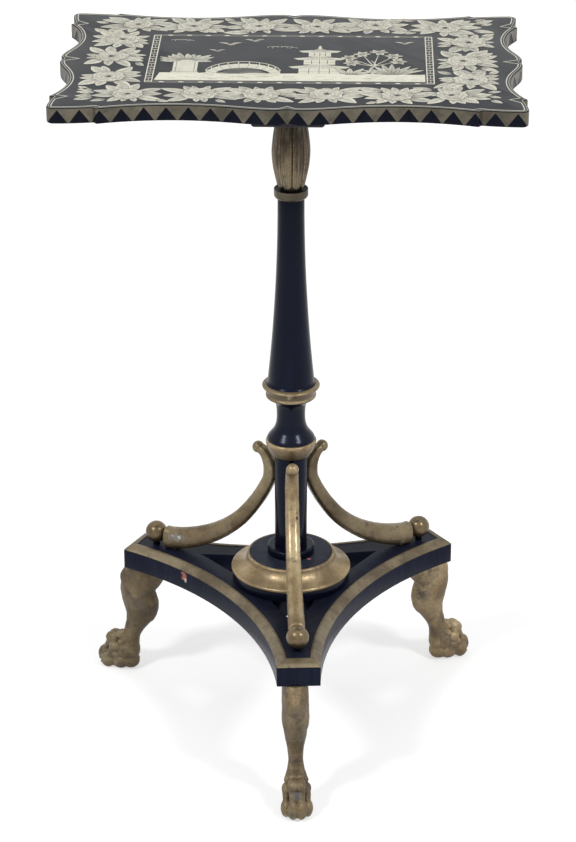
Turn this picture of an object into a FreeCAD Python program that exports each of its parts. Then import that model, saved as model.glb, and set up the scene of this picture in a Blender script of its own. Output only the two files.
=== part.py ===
import FreeCAD, Part
import math
import os

# Occasional table: a scooped top on a turned column, three scroll brackets and a
# three-cornered platform on paw feet. Millimetres, +Z up. The solids are made about
# the column's axis and then moved together to the middle of the table's own box.

Vector = FreeCAD.Vector

# Whole table
table_height = 730.0
top_width = 454.0
top_depth = 308.0

# Top board and its outline: lobes at the corners, scoops, and a bow in each middle
top_thickness = 15.5
corner_round = 7.0
quirk_depth = 4.0
quirk_width = 3.0
long_lobe = 47.0
long_scoop = 12.5
long_bow_half = 14.0
long_bow_notch = 4.0
short_lobe = 38.0
short_scoop = 14.0
short_bow_half = 9.0
short_bow_notch = 3.0

# Bearer under the top, and its screws
bearer_width = 70.0
bearer_end_inset = 30.0
bearer_thickness = 12.5
bearer_chamfer = 2.0
screw_radius = 2.0
screw_head_radius = 4.0
screw_grip = 9.0
screw_side_inset = 13.0
screw_end_inset = 29.0

# Heights of the stacked turned pieces; the shaft takes up what is left
foot_height = 134.0
platform_thickness = 26.0
drum_height = 10.5
boss_height = 19.0
step_height = 9.0
lower_column_length = 105.5
cup_height = 17.0
knop_height = 45.0
collar_height = 18.0
neck_height = 10.7
neck_dish = 0.7
capital_length = 105.7

# Radii of the turned pieces, and how far the mouldings stand out from them
drum_radius = 61.5
drum_shoulder = 9.8
drum_spigot_gap = 5.0
boss_overhang = 1.5
boss_moulding_width = 19.2
column_radius = 17.0
step_width = 7.6
cup_foot_lip = 3.0
cup_spread = 6.4
cup_lip = 1.6
knop_waist_radius = 14.3
knop_flare = 3.7
shaft_base_radius = 23.9
shaft_flare = 2.3
shaft_flare_height = 5.5
shaft_top_radius = 13.6
collar_groove_depth = 0.6
collar_lower_roll = 1.2
collar_upper_roll = 4.1
neck_foot_lip = 0.3
neck_overhang = 3.7
capital_foot_inset = 1.0
capital_swell = 6.0
capital_top_radius = 12.0
capital_petals = 9
petal_groove = 1.2

# Spigots and tenons that join the turned pieces, and their fits
column_tenon_radius = 11.0
knop_spigot_radius = 8.5
shaft_spigot_radius = 7.0
capital_spigot_radius = 6.0
capital_tenon_radius = 8.0
spigot_depth = 18.0
fit_clearance = 0.15
end_clearance = 0.5
wedge_width = 2.4
wedge_tip = 0.8
wedge_length = 9.0

# Platform: corner radius to the middle of each cut corner, and the concave sides
corner_radius = 192.7
corner_width = 44.2
side_border = 5.5
pierce_half_width = 21.0
pierce_length = 47.5
band_width = 11.0
band_seat = 6.0
band_proud = 0.8
band_lip = 1.4
band_flat = 2.2

# Scroll brackets, their balls and fixings
bracket_end_inset = 40.5
bracket_end_depth = 24.0
bracket_end_width = 17.5
bracket_neck_depth = 14.2
bracket_neck_width = 14.4
bracket_neck_drop = 28.3
bracket_tip_reach = 15.3
bracket_tip_rise = 27.0
bracket_tip_depth = 10.6
bracket_tip_width = 12.2
bracket_knob_radius = 6.2
bracket_edge_round = 3.0
bracket_pin_radius = 2.5
bracket_pin_depth = 7.0
bracket_pin_reach = 9.0
bracket_dowel_radius = 3.0
bracket_dowel_inset = 11.0
bracket_dowel_grip = 11.0
ball_radius = 11.8
ball_rise = 3.0
ball_peg_radius = 3.5
ball_peg_grip = 10.0

# Paw feet. Each row is a share of the foot's height, shares of the foot's reach inward and
# outward from its dowel, and a share of its half width
foot_reach = 60.0
foot_half_width = 13.2
foot_profile = (
    (1.00, -0.317, 0.283, 0.955),
    (0.90, -0.300, 0.375, 0.985),
    (0.81, -0.208, 0.450, 1.000),
    (0.72, -0.175, 0.467, 1.000),
    (0.64, -0.208, 0.442, 0.985),
    (0.57, -0.183, 0.408, 0.879),
    (0.49, -0.075, 0.375, 0.682),
    (0.42, 0.042, 0.383, 0.515),
    (0.35, 0.133, 0.458, 0.561),
    (0.29, 0.167, 0.617, 0.742),
    (0.22, 0.167, 0.750, 0.864),
    (0.13, 0.167, 0.817, 0.909),
    (0.05, 0.192, 0.850, 0.894),
    (0.00, 0.225, 0.817, 0.833),
)

# Toes: shares of the reach from the dowel and of the foot's height at each bend
toe_radius = 5.0
toe_bar_radius = 4.4
toe_knuckle = (0.667, 0.246)
toe_bend = (0.835, 0.187)
toe_tip = (0.885, 0.045)
toe_spread = (0.265, 0.652)
toe_setback = 5.0
foot_dowel_radius = 5.0
foot_dowel_inset = 13.7
foot_dowel_grip = 20.0
foot_dowel_rise = 15.0
front_foot_offset = -3.0
right_foot_offset = 7.0
left_foot_offset = 3.0

# The base stands turned a little under the top, and each foot was fitted by hand a
# little to one side of its corner's middle. Directions are in degrees from +X
base_turn = 3.8
corner_angles = {"front": base_turn - 90, "right": base_turn + 30, "left": base_turn + 150}
side_angles = {"right": base_turn - 30, "back": base_turn + 90, "left": base_turn + 210}
foot_offsets = {
    "front": front_foot_offset,
    "right": right_foot_offset,
    "left": left_foot_offset,
}

# Levels worked out from the heights above
platform_top = foot_height + platform_thickness
drum_top = platform_top + drum_height
boss_top = drum_top + boss_height
step_top = boss_top + step_height
column_top = step_top + lower_column_length
cup_top = column_top + cup_height
knop_top = cup_top + knop_height
collar_top = knop_top + collar_height
top_underside = table_height - top_thickness
bearer_underside = top_underside - bearer_thickness
capital_foot = bearer_underside - capital_length
shaft_top = capital_foot + neck_dish - neck_height
drum_foot = foot_height + drum_spigot_gap
ledge = platform_top - band_seat
bracket_neck_level = column_top - bracket_neck_drop
bracket_knob_level = bracket_neck_level + bracket_tip_rise

# Widths and radii worked out from those above
bearer_length = top_depth - 2 * bearer_end_inset
drum_spigot_radius = drum_radius - drum_shoulder
boss_radius = drum_radius + boss_overhang
boss_cap_radius = boss_radius - boss_moulding_width
step_radius = column_radius + step_width
cup_foot_radius = column_radius + cup_foot_lip
cup_radius = cup_foot_radius + cup_spread
knop_radius = cup_radius - cup_lip
knop_top_radius = knop_waist_radius + knop_flare
shaft_flare_radius = shaft_base_radius + shaft_flare
collar_groove_radius = shaft_flare_radius - collar_groove_depth
collar_lower_radius = collar_groove_radius + collar_lower_roll
collar_upper_radius = collar_groove_radius + collar_upper_roll
neck_foot_radius = shaft_top_radius + neck_foot_lip
neck_radius = shaft_top_radius + neck_overhang
capital_foot_radius = shaft_top_radius - capital_foot_inset
capital_radius = capital_foot_radius + capital_swell
corner_half = corner_width / 2
side_middle_radius = drum_radius + side_border + band_width
pierce_reach = drum_radius + pierce_length
bracket_end_radius = corner_radius - bracket_end_inset
bracket_neck_radius = column_radius + fit_clearance + bracket_neck_depth / 2
bracket_tip_radius = bracket_neck_radius + bracket_tip_reach
foot_dowel_radial = corner_radius - foot_dowel_inset


def edge(points, place):
    """A line through two points, an arc through three, or a smooth curve through more."""
    vectors = [place(*point) for point in points]
    if len(vectors) == 2:
        return Part.LineSegment(*vectors).toShape()
    if len(vectors) == 3:
        return Part.Arc(*vectors).toShape()
    curve = Part.BSplineCurve()
    curve.interpolate(vectors)
    return curve.toShape()


def closed_face(start, steps, place):
    """A face inside a chain of steps. Each step lists the points after the last one."""
    edges = []
    here = start
    for step in steps:
        edges.append(edge([here] + list(step), place))
        here = step[-1]
    if here != start:
        edges.append(edge([here, start], place))
    return Part.Face(Part.Wire(Part.__sortEdges__(edges)))


def upright(radius, height):
    return Vector(radius, 0, height)


def turned(start, *steps):
    """A solid of revolution about the column's axis from its half profile."""
    face = closed_face(start, steps, upright)
    return face.revolve(Vector(0, 0, 0), Vector(0, 0, 1), 360)


def rod(radius, low, high, x=0.0, y=0.0):
    return Part.makeCylinder(radius, high - low, Vector(x, y, low))


def turn(shape, angle):
    return shape.rotated(Vector(0, 0, 0), Vector(0, 0, 1), angle)


def wedge(low, width, length, half_span):
    """A wedge with its thick end up, lying along Y."""
    tip = wedge_tip / 2
    face = closed_face(
        (-tip, low),
        [[(tip, low)], [(width / 2, low + length)], [(-width / 2, low + length)]],
        upright,
    )
    face.translate(Vector(0, -half_span, 0))
    return face.extrude(Vector(0, 2 * half_span, 0))


def upside_down(shape, level):
    return shape.rotated(Vector(0, 0, level), Vector(0, 1, 0), 180)


# Top board


def half_side(half_length, lobe, scoop, bow_half, notch):
    """Half of one side from its corner to its middle, as distance along and depth in."""
    start = half_length - corner_round
    horn = half_length - lobe
    quirk = horn + quirk_width
    span = horn - bow_half
    return [
        [(start, 0.0), ((start + quirk) / 2, 0.28 * quirk_depth), (quirk, quirk_depth)],
        [(quirk, quirk_depth), (horn, 0.0)],
        [
            (horn, 0.0),
            (bow_half + 0.82 * span, 0.64 * scoop),
            (bow_half + 0.54 * span, scoop),
            (bow_half + 0.25 * span, 0.58 * scoop),
            (bow_half + 0.08 * span, 0.10 * scoop),
            (bow_half, 0.0),
        ],
        [(bow_half, 0.0), (0.45 * bow_half, 0.25 * notch), (0.0, notch)],
    ]


def side_edges(half, place):
    edges = []
    for step in half:
        edges.append(edge([(-along, depth) for along, depth in step], place))
    for step in reversed(half):
        edges.append(edge(list(reversed(step)), place))
    return edges


def top_outline():
    half_w = top_width / 2
    half_d = top_depth / 2
    long_half = half_side(half_w, long_lobe, long_scoop, long_bow_half, long_bow_notch)
    short_half = half_side(half_d, short_lobe, short_scoop, short_bow_half, short_bow_notch)
    edges = side_edges(long_half, lambda s, d: Vector(s, d - half_d, 0))
    edges += side_edges(short_half, lambda s, d: Vector(half_w - d, s, 0))
    edges += side_edges(long_half, lambda s, d: Vector(-s, half_d - d, 0))
    edges += side_edges(short_half, lambda s, d: Vector(d - half_w, -s, 0))
    diagonal = corner_round * (1 - math.sqrt(0.5))
    for sign_x in (-1, 1):
        for sign_y in (-1, 1):
            along_x = Vector(sign_x * (half_w - corner_round), sign_y * half_d, 0)
            middle = Vector(sign_x * (half_w - diagonal), sign_y * (half_d - diagonal), 0)
            along_y = Vector(sign_x * half_w, sign_y * (half_d - corner_round), 0)
            edges.append(Part.Arc(along_x, middle, along_y).toShape())
    return Part.Wire(Part.__sortEdges__(edges))


def screw_places():
    for sign_x in (-1, 1):
        for sign_y in (-1, 1):
            x = sign_x * (bearer_width / 2 - screw_side_inset)
            y = sign_y * (bearer_length / 2 - screw_end_inset)
            yield x, y


def screw(x, y, spare):
    """A countersunk wood screw up through the bearer; spare widens it into its hole."""
    head = screw_head_radius - screw_radius
    low = bearer_underside
    tip = top_underside + screw_grip + spare
    shape = turned(
        (0.0, low),
        [(screw_head_radius + spare, low)],
        [(screw_radius + spare, low + head)],
        [(screw_radius + spare, tip - screw_radius)],
        [(0.0, tip)],
    )
    shape.translate(Vector(x, y, 0))
    return shape


def top_board():
    board = Part.Face(top_outline()).extrude(Vector(0, 0, top_thickness))
    board.translate(Vector(0, 0, top_underside))
    for x, y in screw_places():
        board = board.cut(screw(x, y, fit_clearance))
    return board


def top_bearer():
    corner = Vector(-bearer_width / 2, -bearer_length / 2, bearer_underside)
    bar = Part.makeBox(bearer_width, bearer_length, bearer_thickness, corner)
    lower = [e for e in bar.Edges if e.BoundBox.ZMax < bearer_underside + bearer_chamfer / 2]
    bar = bar.makeChamfer(bearer_chamfer, lower)
    for x, y in screw_places():
        bar = bar.cut(screw(x, y, fit_clearance))
    return bar.cut(rod(capital_tenon_radius + fit_clearance, bearer_underside, top_underside))


def bearer_screws():
    return [screw(x, y, 0.0) for x, y in screw_places()]


# Turned column, from the top down


def petal_section(radius, height):
    """A ring of shallow outward arcs, one for each petal."""
    step = 2 * math.pi / capital_petals
    valley = radius - petal_groove * radius / capital_radius
    edges = []
    for index in range(capital_petals):
        start, middle, end = ((index + share) * step for share in (0.0, 0.5, 1.0))
        edges.append(
            Part.Arc(
                Vector(valley * math.cos(start), valley * math.sin(start), height),
                Vector(radius * math.cos(middle), radius * math.sin(middle), height),
                Vector(valley * math.cos(end), valley * math.sin(end), height),
            ).toShape()
        )
    return Part.Wire(edges)


def capital():
    """Lotus bud: petals swell from the foot to a third of the height, then close."""
    belly = capital_radius - capital_foot_radius
    close = capital_radius - capital_top_radius
    shape_rows = (
        (0.00, capital_foot_radius),
        (0.05, capital_foot_radius + 0.12 * belly),
        (0.13, capital_foot_radius + 0.52 * belly),
        (0.24, capital_foot_radius + 0.88 * belly),
        (0.37, capital_radius),
        (0.52, capital_radius - 0.14 * close),
        (0.68, capital_radius - 0.42 * close),
        (0.85, capital_radius - 0.80 * close),
        (1.00, capital_top_radius),
    )
    rings = [petal_section(r, capital_foot + share * capital_length) for share, r in shape_rows]
    bud = Part.makeLoft(rings, True, False)
    tenon = rod(capital_tenon_radius, bearer_underside - end_clearance, top_underside)
    spigot_low = shaft_top - spigot_depth
    spigot = rod(capital_spigot_radius, spigot_low, capital_foot + end_clearance)
    slot = wedge(top_underside - wedge_length, wedge_width, wedge_length, capital_radius)
    return bud.fuse([tenon, spigot]).cut(slot)


def capital_wedge():
    key = wedge(top_underside - wedge_length, wedge_width, wedge_length, capital_radius)
    return key.common(rod(capital_tenon_radius, top_underside - wedge_length, top_underside))


def neck_ring():
    low = shaft_top
    high = shaft_top + neck_height
    dish = capital_foot
    bore = capital_spigot_radius + fit_clearance
    band_low = low + 0.3 * neck_height
    rim = neck_radius - neck_foot_radius
    lip = 0.25 * rim
    return turned(
        (bore, low),
        [(neck_foot_radius, low)],
        [(neck_radius - 0.3 * rim, low + 0.15 * neck_height), (neck_radius, band_low)],
        [(neck_radius, high - lip)],
        [(neck_radius - 0.3 * lip, high - 0.3 * lip), (neck_radius - lip, high)],
        [(neck_foot_radius, dish)],
        [(bore, dish)],
    )


def shaft():
    low = collar_top
    flare = low + shaft_flare_height
    taper = shaft_base_radius - shaft_top_radius
    socket = shaft_top - spigot_depth - end_clearance
    bore = capital_spigot_radius + fit_clearance
    spin = shaft_spigot_radius
    return turned(
        (0.0, knop_top - spigot_depth),
        [(spin, knop_top - spigot_depth)],
        [(spin, low)],
        [(shaft_flare_radius, low)],
        [(shaft_base_radius + 0.13 * shaft_flare, (low + flare) / 2), (shaft_base_radius, flare)],
        [
            (shaft_top_radius + taper / 4, (flare + shaft_top) / 2),
            (shaft_top_radius, shaft_top),
        ],
        [(bore, shaft_top)],
        [(bore, socket)],
        [(0.0, socket)],
    )


def collar_ring():
    low = knop_top
    high = collar_top
    groove = low + 0.46 * collar_height
    bore = shaft_spigot_radius + fit_clearance
    underside = 2 * collar_groove_radius - collar_lower_radius
    return turned(
        (bore, low),
        [(underside, low)],
        [(collar_lower_radius, (low + groove) / 2), (collar_groove_radius, groove)],
        [(collar_upper_radius, (high + groove) / 2), (shaft_flare_radius, high)],
        [(bore, high)],
    )


def knop():
    low = cup_top
    high = knop_top
    height = knop_height
    spin = knop_spigot_radius
    bore = shaft_spigot_radius + fit_clearance
    socket = high - spigot_depth - end_clearance
    swell = knop_radius - knop_waist_radius
    return turned(
        (0.0, column_top - spigot_depth),
        [(spin, column_top - spigot_depth)],
        [(spin, low)],
        [(knop_radius, low)],
        [
            (knop_radius - 0.22 * swell, low + 0.10 * height),
            (knop_waist_radius + 0.32 * swell, low + 0.19 * height),
        ],
        [
            (knop_waist_radius + 0.06 * swell, low + 0.37 * height),
            (knop_waist_radius, low + 0.50 * height),
        ],
        [(knop_waist_radius + 0.18 * knop_flare, low + 0.72 * height), (knop_top_radius, high)],
        [(bore, high)],
        [(bore, socket)],
        [(0.0, socket)],
    )


def cup_ring():
    low = column_top
    high = cup_top
    bore = knop_spigot_radius + fit_clearance
    return turned(
        (bore, low),
        [(cup_foot_radius, low)],
        [
            (cup_foot_radius + 0.68 * cup_spread, low + 0.42 * cup_height),
            (cup_radius, high - 2 * cup_lip),
        ],
        [(cup_radius, high - cup_lip), (knop_radius + 0.2 * cup_lip, high)],
        [(bore, high)],
    )


def lower_column():
    bore = knop_spigot_radius + fit_clearance
    socket = column_top - spigot_depth - end_clearance
    post = turned(
        (0.0, drum_foot),
        [(column_tenon_radius, drum_foot)],
        [(column_tenon_radius, step_top)],
        [(column_radius, step_top)],
        [(column_radius, column_top)],
        [(bore, column_top)],
        [(bore, socket)],
        [(0.0, socket)],
    )
    post = post.cut(foot_wedge_blank())
    for angle in corner_angles.values():
        post = post.cut(turn(bracket_pin(fit_clearance), angle))
    return post


def foot_wedge_blank():
    key = wedge(drum_foot, wedge_width, wedge_length, column_radius)
    return upside_down(key, drum_foot + wedge_length / 2)


def column_wedge():
    return foot_wedge_blank().common(rod(column_tenon_radius, drum_foot, step_top))


def tenon_bore():
    return column_tenon_radius + fit_clearance


def step_ring():
    edge_drop = 0.12 * step_height
    return turned(
        (tenon_bore(), boss_top),
        [(step_radius, boss_top)],
        [(step_radius, step_top - edge_drop)],
        [(step_radius - edge_drop, step_top)],
        [(tenon_bore(), step_top)],
    )


def boss_cap():
    radius = boss_cap_radius - fit_clearance
    return turned(
        (tenon_bore(), drum_top),
        [(radius, drum_top)],
        [(radius, boss_top)],
        [(tenon_bore(), boss_top)],
    )


def boss_moulding():
    """Small round at the outer edge, a wide hollow, and a narrow rim against the cap."""

    def at(across, up):
        return boss_cap_radius + across * boss_moulding_width, drum_top + up * boss_height

    return turned(
        at(0.0, 0.0),
        [(drum_radius, drum_top)],
        [at(1.0, 0.11), at(0.95, 0.22)],
        [at(0.45, 0.42), at(0.14, 0.86)],
        [at(0.12, 0.97), at(0.05, 1.0)],
        [at(0.0, 1.0)],
    )


def boss_drum():
    return turned(
        (tenon_bore(), drum_foot),
        [(drum_spigot_radius, drum_foot)],
        [(drum_spigot_radius, platform_top)],
        [(drum_radius, platform_top)],
        [(drum_radius, drum_top)],
        [(tenon_bore(), drum_top)],
    )


# Platform and its gilt bands


def side_arc():
    """Distance of a concave side's centre from the column, and the side's radius."""
    along = corner_radius * 0.5 + corner_half * math.sqrt(0.75)
    across = corner_radius * math.sqrt(0.75) - corner_half * 0.5
    near = side_middle_radius
    centre = (along ** 2 + across ** 2 - near ** 2) / (2 * (along - near))
    return centre, centre - near


def corner_point(inset, sign):
    """Where a cut corner meets a concave side, seen along the corner's direction."""
    centre, radius = side_arc()
    centre_x = centre * 0.5
    centre_y = centre * math.sqrt(0.75)
    x = corner_radius - inset
    y = centre_y - math.sqrt((radius + inset) ** 2 - (x - centre_x) ** 2)
    return Vector(x, sign * y, 0)


def turned_point(point, angle):
    return FreeCAD.Rotation(Vector(0, 0, 1), angle).multVec(point)


def platform_face(inset):
    edges = []
    for angle in corner_angles.values():
        start = turned_point(corner_point(inset, -1), angle)
        end = turned_point(corner_point(inset, 1), angle)
        middle = turned_point(Vector(side_middle_radius - inset, 0, 0), angle + 60)
        after = turned_point(corner_point(inset, -1), angle + 120)
        edges.append(Part.LineSegment(start, end).toShape())
        edges.append(Part.Arc(end, middle, after).toShape())
    return Part.Face(Part.Wire(Part.__sortEdges__(edges)))


def prism(face, low, high):
    shape = face.extrude(Vector(0, 0, high - low))
    shape.translate(Vector(0, 0, low))
    return shape


def pierced_corner():
    """The three-cornered hole between the drum and one corner."""
    inner = drum_spigot_radius / 2
    slope = pierce_half_width / (pierce_reach - drum_radius)
    half = slope * (pierce_reach - inner)
    tip = Vector(pierce_reach, 0, 0)
    points = [tip, Vector(inner, half, 0), Vector(inner, -half, 0), tip]
    hole = Part.Face(Part.makePolygon(points)).extrude(Vector(0, 0, platform_thickness))
    hole.translate(Vector(0, 0, foot_height))
    width_limit = Part.makeBox(
        pierce_reach, 2 * pierce_half_width, platform_thickness,
        Vector(0, -pierce_half_width, foot_height),
    )
    return hole.common(width_limit)


def platform():
    board = prism(platform_face(0.0), foot_height, ledge)
    board = board.fuse(prism(platform_face(band_width), ledge, platform_top)).removeSplitter()
    board = board.cut(rod(drum_spigot_radius + fit_clearance, foot_height, platform_top))
    for name, angle in corner_angles.items():
        board = board.cut(turn(pierced_corner(), angle))
        for fixing in (bracket_dowel, ball_peg):
            board = board.cut(turn(fixing(fit_clearance), angle))
        board = board.cut(under_corner(foot_dowel(fit_clearance), name))
    return board


def band_section(side):
    """Ogee section of a gilt band; side places a distance in from the outer edge."""
    height = band_seat + band_proud
    knee = band_width - band_flat
    return closed_face(
        (0.0, 0.0),
        [
            [(0.0, band_lip)],
            [(0.34 * knee, 0.62 * height), (knee, height)],
            [(band_width, height)],
            [(band_width, 0.0)],
        ],
        lambda inset, rise: Vector(side(inset), 0, ledge + rise),
    )


def mitre_points(sign, angle):
    """Points on the mitre line of a corner, one well outside and one well inside."""
    outer = corner_point(0.0, sign)
    inner = corner_point(band_width, sign)
    run = inner - outer
    return turned_point(outer - run, angle), turned_point(inner + run * 6, angle)


def between_mitres(points):
    face = Part.Face(Part.makePolygon(points + [points[0]]))
    return prism(face, ledge - band_seat, platform_top + band_seat)


def corner_band(angle):
    section = band_section(lambda inset: corner_radius - inset)
    section.translate(Vector(0, -corner_half, 0))
    bar = turn(section.extrude(Vector(0, corner_width, 0)), angle)
    out_low, in_low = mitre_points(-1, angle)
    out_high, in_high = mitre_points(1, angle)
    crossing = turned_point(Vector(corner_radius / 2, 0, 0), angle)
    line_low = Part.LineSegment(out_low, in_low)
    line_high = Part.LineSegment(out_high, in_high)
    for point in line_low.intersect(line_high):
        crossing = Vector(point.X, point.Y, 0)
    return bar.common(between_mitres([out_low, out_high, crossing]))


def side_band(angle):
    centre, radius = side_arc()
    section = band_section(lambda inset: -(radius + inset))
    sweep = math.degrees(math.asin((corner_radius + band_width) / radius))
    section.rotate(Vector(0, 0, 0), Vector(0, 0, 1), -sweep)
    strip = section.revolve(Vector(0, 0, 0), Vector(0, 0, 1), 2 * sweep)
    strip.translate(Vector(centre, 0, 0))
    strip = turn(strip, angle)
    out_first, in_first = mitre_points(1, angle - 60)
    out_last, in_last = mitre_points(-1, angle + 60)
    return strip.common(between_mitres([out_first, in_first, in_last, out_last]))


# Scroll brackets, balls and their fixings, made along +X and turned to each corner


def bracket_stations():
    """Middle line of a bracket with its depth and width, from its end to its tip."""
    end_height = platform_top + bracket_end_depth / 2
    reach = bracket_end_radius - bracket_neck_radius
    rise = bracket_neck_level - end_height
    rows = (
        (1.000, 0.000, 0.00),
        (0.920, 0.006, 0.05),
        (0.768, 0.050, 0.17),
        (0.600, 0.135, 0.33),
        (0.445, 0.250, 0.51),
        (0.290, 0.410, 0.70),
        (0.165, 0.600, 0.86),
        (0.072, 0.780, 0.95),
        (0.012, 0.930, 0.99),
        (0.000, 1.000, 1.00),
    )
    stations = []
    for along, up, share in rows:
        depth = bracket_end_depth + share * (bracket_neck_depth - bracket_end_depth)
        width = bracket_end_width + share * (bracket_neck_width - bracket_end_width)
        stations.append((bracket_neck_radius + along * reach, end_height + up * rise, depth, width))
    curl_rows = ((0.05, 0.36, 0.35), (0.24, 0.68, 0.65), (0.55, 0.90, 0.85), (0.92, 1.00, 1.0))
    for along, up, share in curl_rows:
        depth = bracket_neck_depth + share * (bracket_tip_depth - bracket_neck_depth)
        width = bracket_neck_width + share * (bracket_tip_width - bracket_neck_width)
        level = bracket_neck_level + up * bracket_tip_rise
        radius = bracket_neck_radius + along * bracket_tip_reach
        stations.append((radius, level, depth, width))
    return stations


def bracket_section(point, direction, depth, width):
    """Round-backed section square to the bracket's run: flat sides, round outer face."""
    outward = Vector(-direction.z, 0, direction.x)
    if outward.z < 0 and abs(outward.z) > abs(outward.x):
        outward = outward * -1
    half_w = width / 2
    half_d = depth / 2
    crown = min(half_w, half_d) * 0.9
    shoulder = half_d - crown
    flat = min(bracket_edge_round, half_d / 2)
    diagonal = math.sqrt(0.5)

    def at(across, up):
        return point + Vector(0, across, 0) + outward * up

    rim = flat * (1 - diagonal)
    corners = [
        [at(half_w, flat - half_d), at(half_w, shoulder)],
        [at(half_w, shoulder), at(half_w * diagonal, shoulder + crown * diagonal), at(0, half_d)],
        [at(0, half_d), at(-half_w * diagonal, shoulder + crown * diagonal), at(-half_w, shoulder)],
        [at(-half_w, shoulder), at(-half_w, flat - half_d)],
        [at(-half_w, flat - half_d), at(rim - half_w, rim - half_d), at(flat - half_w, -half_d)],
        [at(flat - half_w, -half_d), at(half_w - flat, -half_d)],
        [at(half_w - flat, -half_d), at(half_w - rim, rim - half_d), at(half_w, flat - half_d)],
    ]
    edges = []
    for points in corners:
        if len(points) == 2:
            edges.append(Part.LineSegment(*points).toShape())
        else:
            edges.append(Part.Arc(*points).toShape())
    return Part.Wire(edges)


def bracket():
    stations = bracket_stations()
    middles = [Vector(r, 0, z) for r, z, _, _ in stations]
    sections = []
    for index, (_, _, depth, width) in enumerate(stations):
        before = middles[max(index - 1, 0)]
        after = middles[min(index + 1, len(middles) - 1)]
        direction = Vector(-1, 0, 0) if index == 0 else after - before
        direction.normalize()
        flipped = Vector(-direction.x, 0, -direction.z)
        sections.append(bracket_section(middles[index], flipped, depth, width))
    scroll = Part.makeLoft(sections, True, False)
    knob = Part.makeSphere(bracket_knob_radius, Vector(bracket_tip_radius, 0, bracket_knob_level))
    scroll = scroll.fuse(knob)
    for fixing in (bracket_pin, bracket_dowel):
        scroll = scroll.cut(fixing(fit_clearance))
    return scroll


def bracket_pin(spare):
    """Level pin from the bracket's neck into the column."""
    start = column_radius - bracket_pin_depth - spare
    end = column_radius + bracket_pin_reach + spare
    foot = Vector(start, 0, bracket_neck_level)
    return Part.makeCylinder(bracket_pin_radius + spare, end - start, foot, Vector(1, 0, 0))


def bracket_dowel(spare):
    low = platform_top - bracket_dowel_grip - spare
    high = platform_top + bracket_dowel_grip + spare
    return rod(bracket_dowel_radius + spare, low, high, bracket_end_radius - bracket_dowel_inset)


def ball_place():
    return bracket_end_radius + fit_clearance + ball_radius


def ball():
    middle = Vector(ball_place(), 0, platform_top + ball_rise + ball_radius)
    return Part.makeSphere(ball_radius, middle).cut(ball_peg(fit_clearance))


def ball_peg(spare):
    low = platform_top - ball_peg_grip - spare
    high = platform_top + ball_rise + ball_radius + spare
    return rod(ball_peg_radius + spare, low, high, ball_place())


# Paw feet


def foot_section(share, inner, outer, width):
    """Closed rounded section, a little squarer than an ellipse."""
    middle = foot_dowel_radial + foot_reach * (inner + outer) / 2
    half_reach = foot_reach * (outer - inner) / 2
    half_width = foot_half_width * width
    points = []
    for index in range(12):
        angle = index * math.pi / 6
        c = math.cos(angle)
        s = math.sin(angle)
        x = middle + half_reach * math.copysign(abs(c) ** 0.88, c)
        y = half_width * math.copysign(abs(s) ** 0.88, s)
        points.append(Vector(x, y, share * foot_height))
    curve = Part.BSplineCurve()
    curve.interpolate(Points=points, PeriodicFlag=True)
    return Part.Wire(curve.toShape())


def toe(joints):
    """A bent toe: bars between its joints, with a round knuckle at each joint."""
    parts = [Part.makeSphere(toe_radius, joint) for joint in joints]
    for start, end in zip(joints, joints[1:]):
        run = end - start
        parts.append(Part.makeCylinder(toe_bar_radius, run.Length, start, run))
    return parts[0].fuse(parts[1:])


def toe_places():
    """The joints of each toe, from the knuckle down to the tip."""
    for spread, back in zip(toe_spread, (0.0, toe_setback)):
        for side in (-foot_half_width, foot_half_width):
            joints = []
            for reach, up in (toe_knuckle, toe_bend, toe_tip):
                radial = foot_dowel_radial + reach * foot_reach - back
                joints.append(Vector(radial, spread * side, up * foot_height))
            yield joints


def foot():
    """A leg with a knee and an ankle, and four bent toes cut off level with the floor."""
    paw = Part.makeLoft([foot_section(*row) for row in foot_profile], True, False)
    for joints in toe_places():
        paw = paw.fuse(toe(joints))
    reach = foot_dowel_radial + foot_reach
    floor_cut = Part.makeBox(2 * reach, reach, reach, Vector(0, -reach / 2, -reach))
    return paw.cut(floor_cut).cut(foot_dowel(fit_clearance))


def foot_dowel(spare):
    low = foot_height - foot_dowel_grip - spare
    high = foot_height + foot_dowel_rise + spare
    return rod(foot_dowel_radius + spare, low, high, foot_dowel_radial)


def under_corner(shape, name):
    """Set a foot or its dowel under its corner, beside the middle by its own offset."""
    return turn(shape.translated(Vector(0, foot_offsets[name], 0)), corner_angles[name])


def at_each_corner(make):
    return [turn(make(0.0), angle) for angle in corner_angles.values()]


def build():
    """Every node's name with the list of its solids."""
    nodes = {
        "top_board": [top_board()],
        "top_bearer": [top_bearer()],
        "bearer_screws": bearer_screws(),
        "capital": [capital()],
        "capital_wedge": [capital_wedge()],
        "neck_ring": [neck_ring()],
        "shaft": [shaft()],
        "collar_ring": [collar_ring()],
        "knop": [knop()],
        "cup_ring": [cup_ring()],
        "lower_column": [lower_column()],
        "column_wedge": [column_wedge()],
        "step_ring": [step_ring()],
        "boss_cap": [boss_cap()],
        "boss_moulding": [boss_moulding()],
        "boss_drum": [boss_drum()],
        "platform": [platform()],
        "bracket_pins": at_each_corner(bracket_pin),
        "bracket_dowels": at_each_corner(bracket_dowel),
        "ball_pegs": at_each_corner(ball_peg),
        "foot_dowels": [under_corner(foot_dowel(0.0), name) for name in corner_angles],
    }
    one_bracket = bracket()
    one_ball = ball()
    one_foot = foot()
    for name, angle in corner_angles.items():
        nodes["corner_band_" + name] = [corner_band(angle)]
        nodes["bracket_" + name] = [turn(one_bracket, angle)]
        nodes["ball_" + name] = [turn(one_ball, angle)]
        nodes["foot_" + name] = [under_corner(one_foot, name)]
    for name, angle in side_angles.items():
        nodes["side_band_" + name] = [side_band(angle)]
    return nodes


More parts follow.
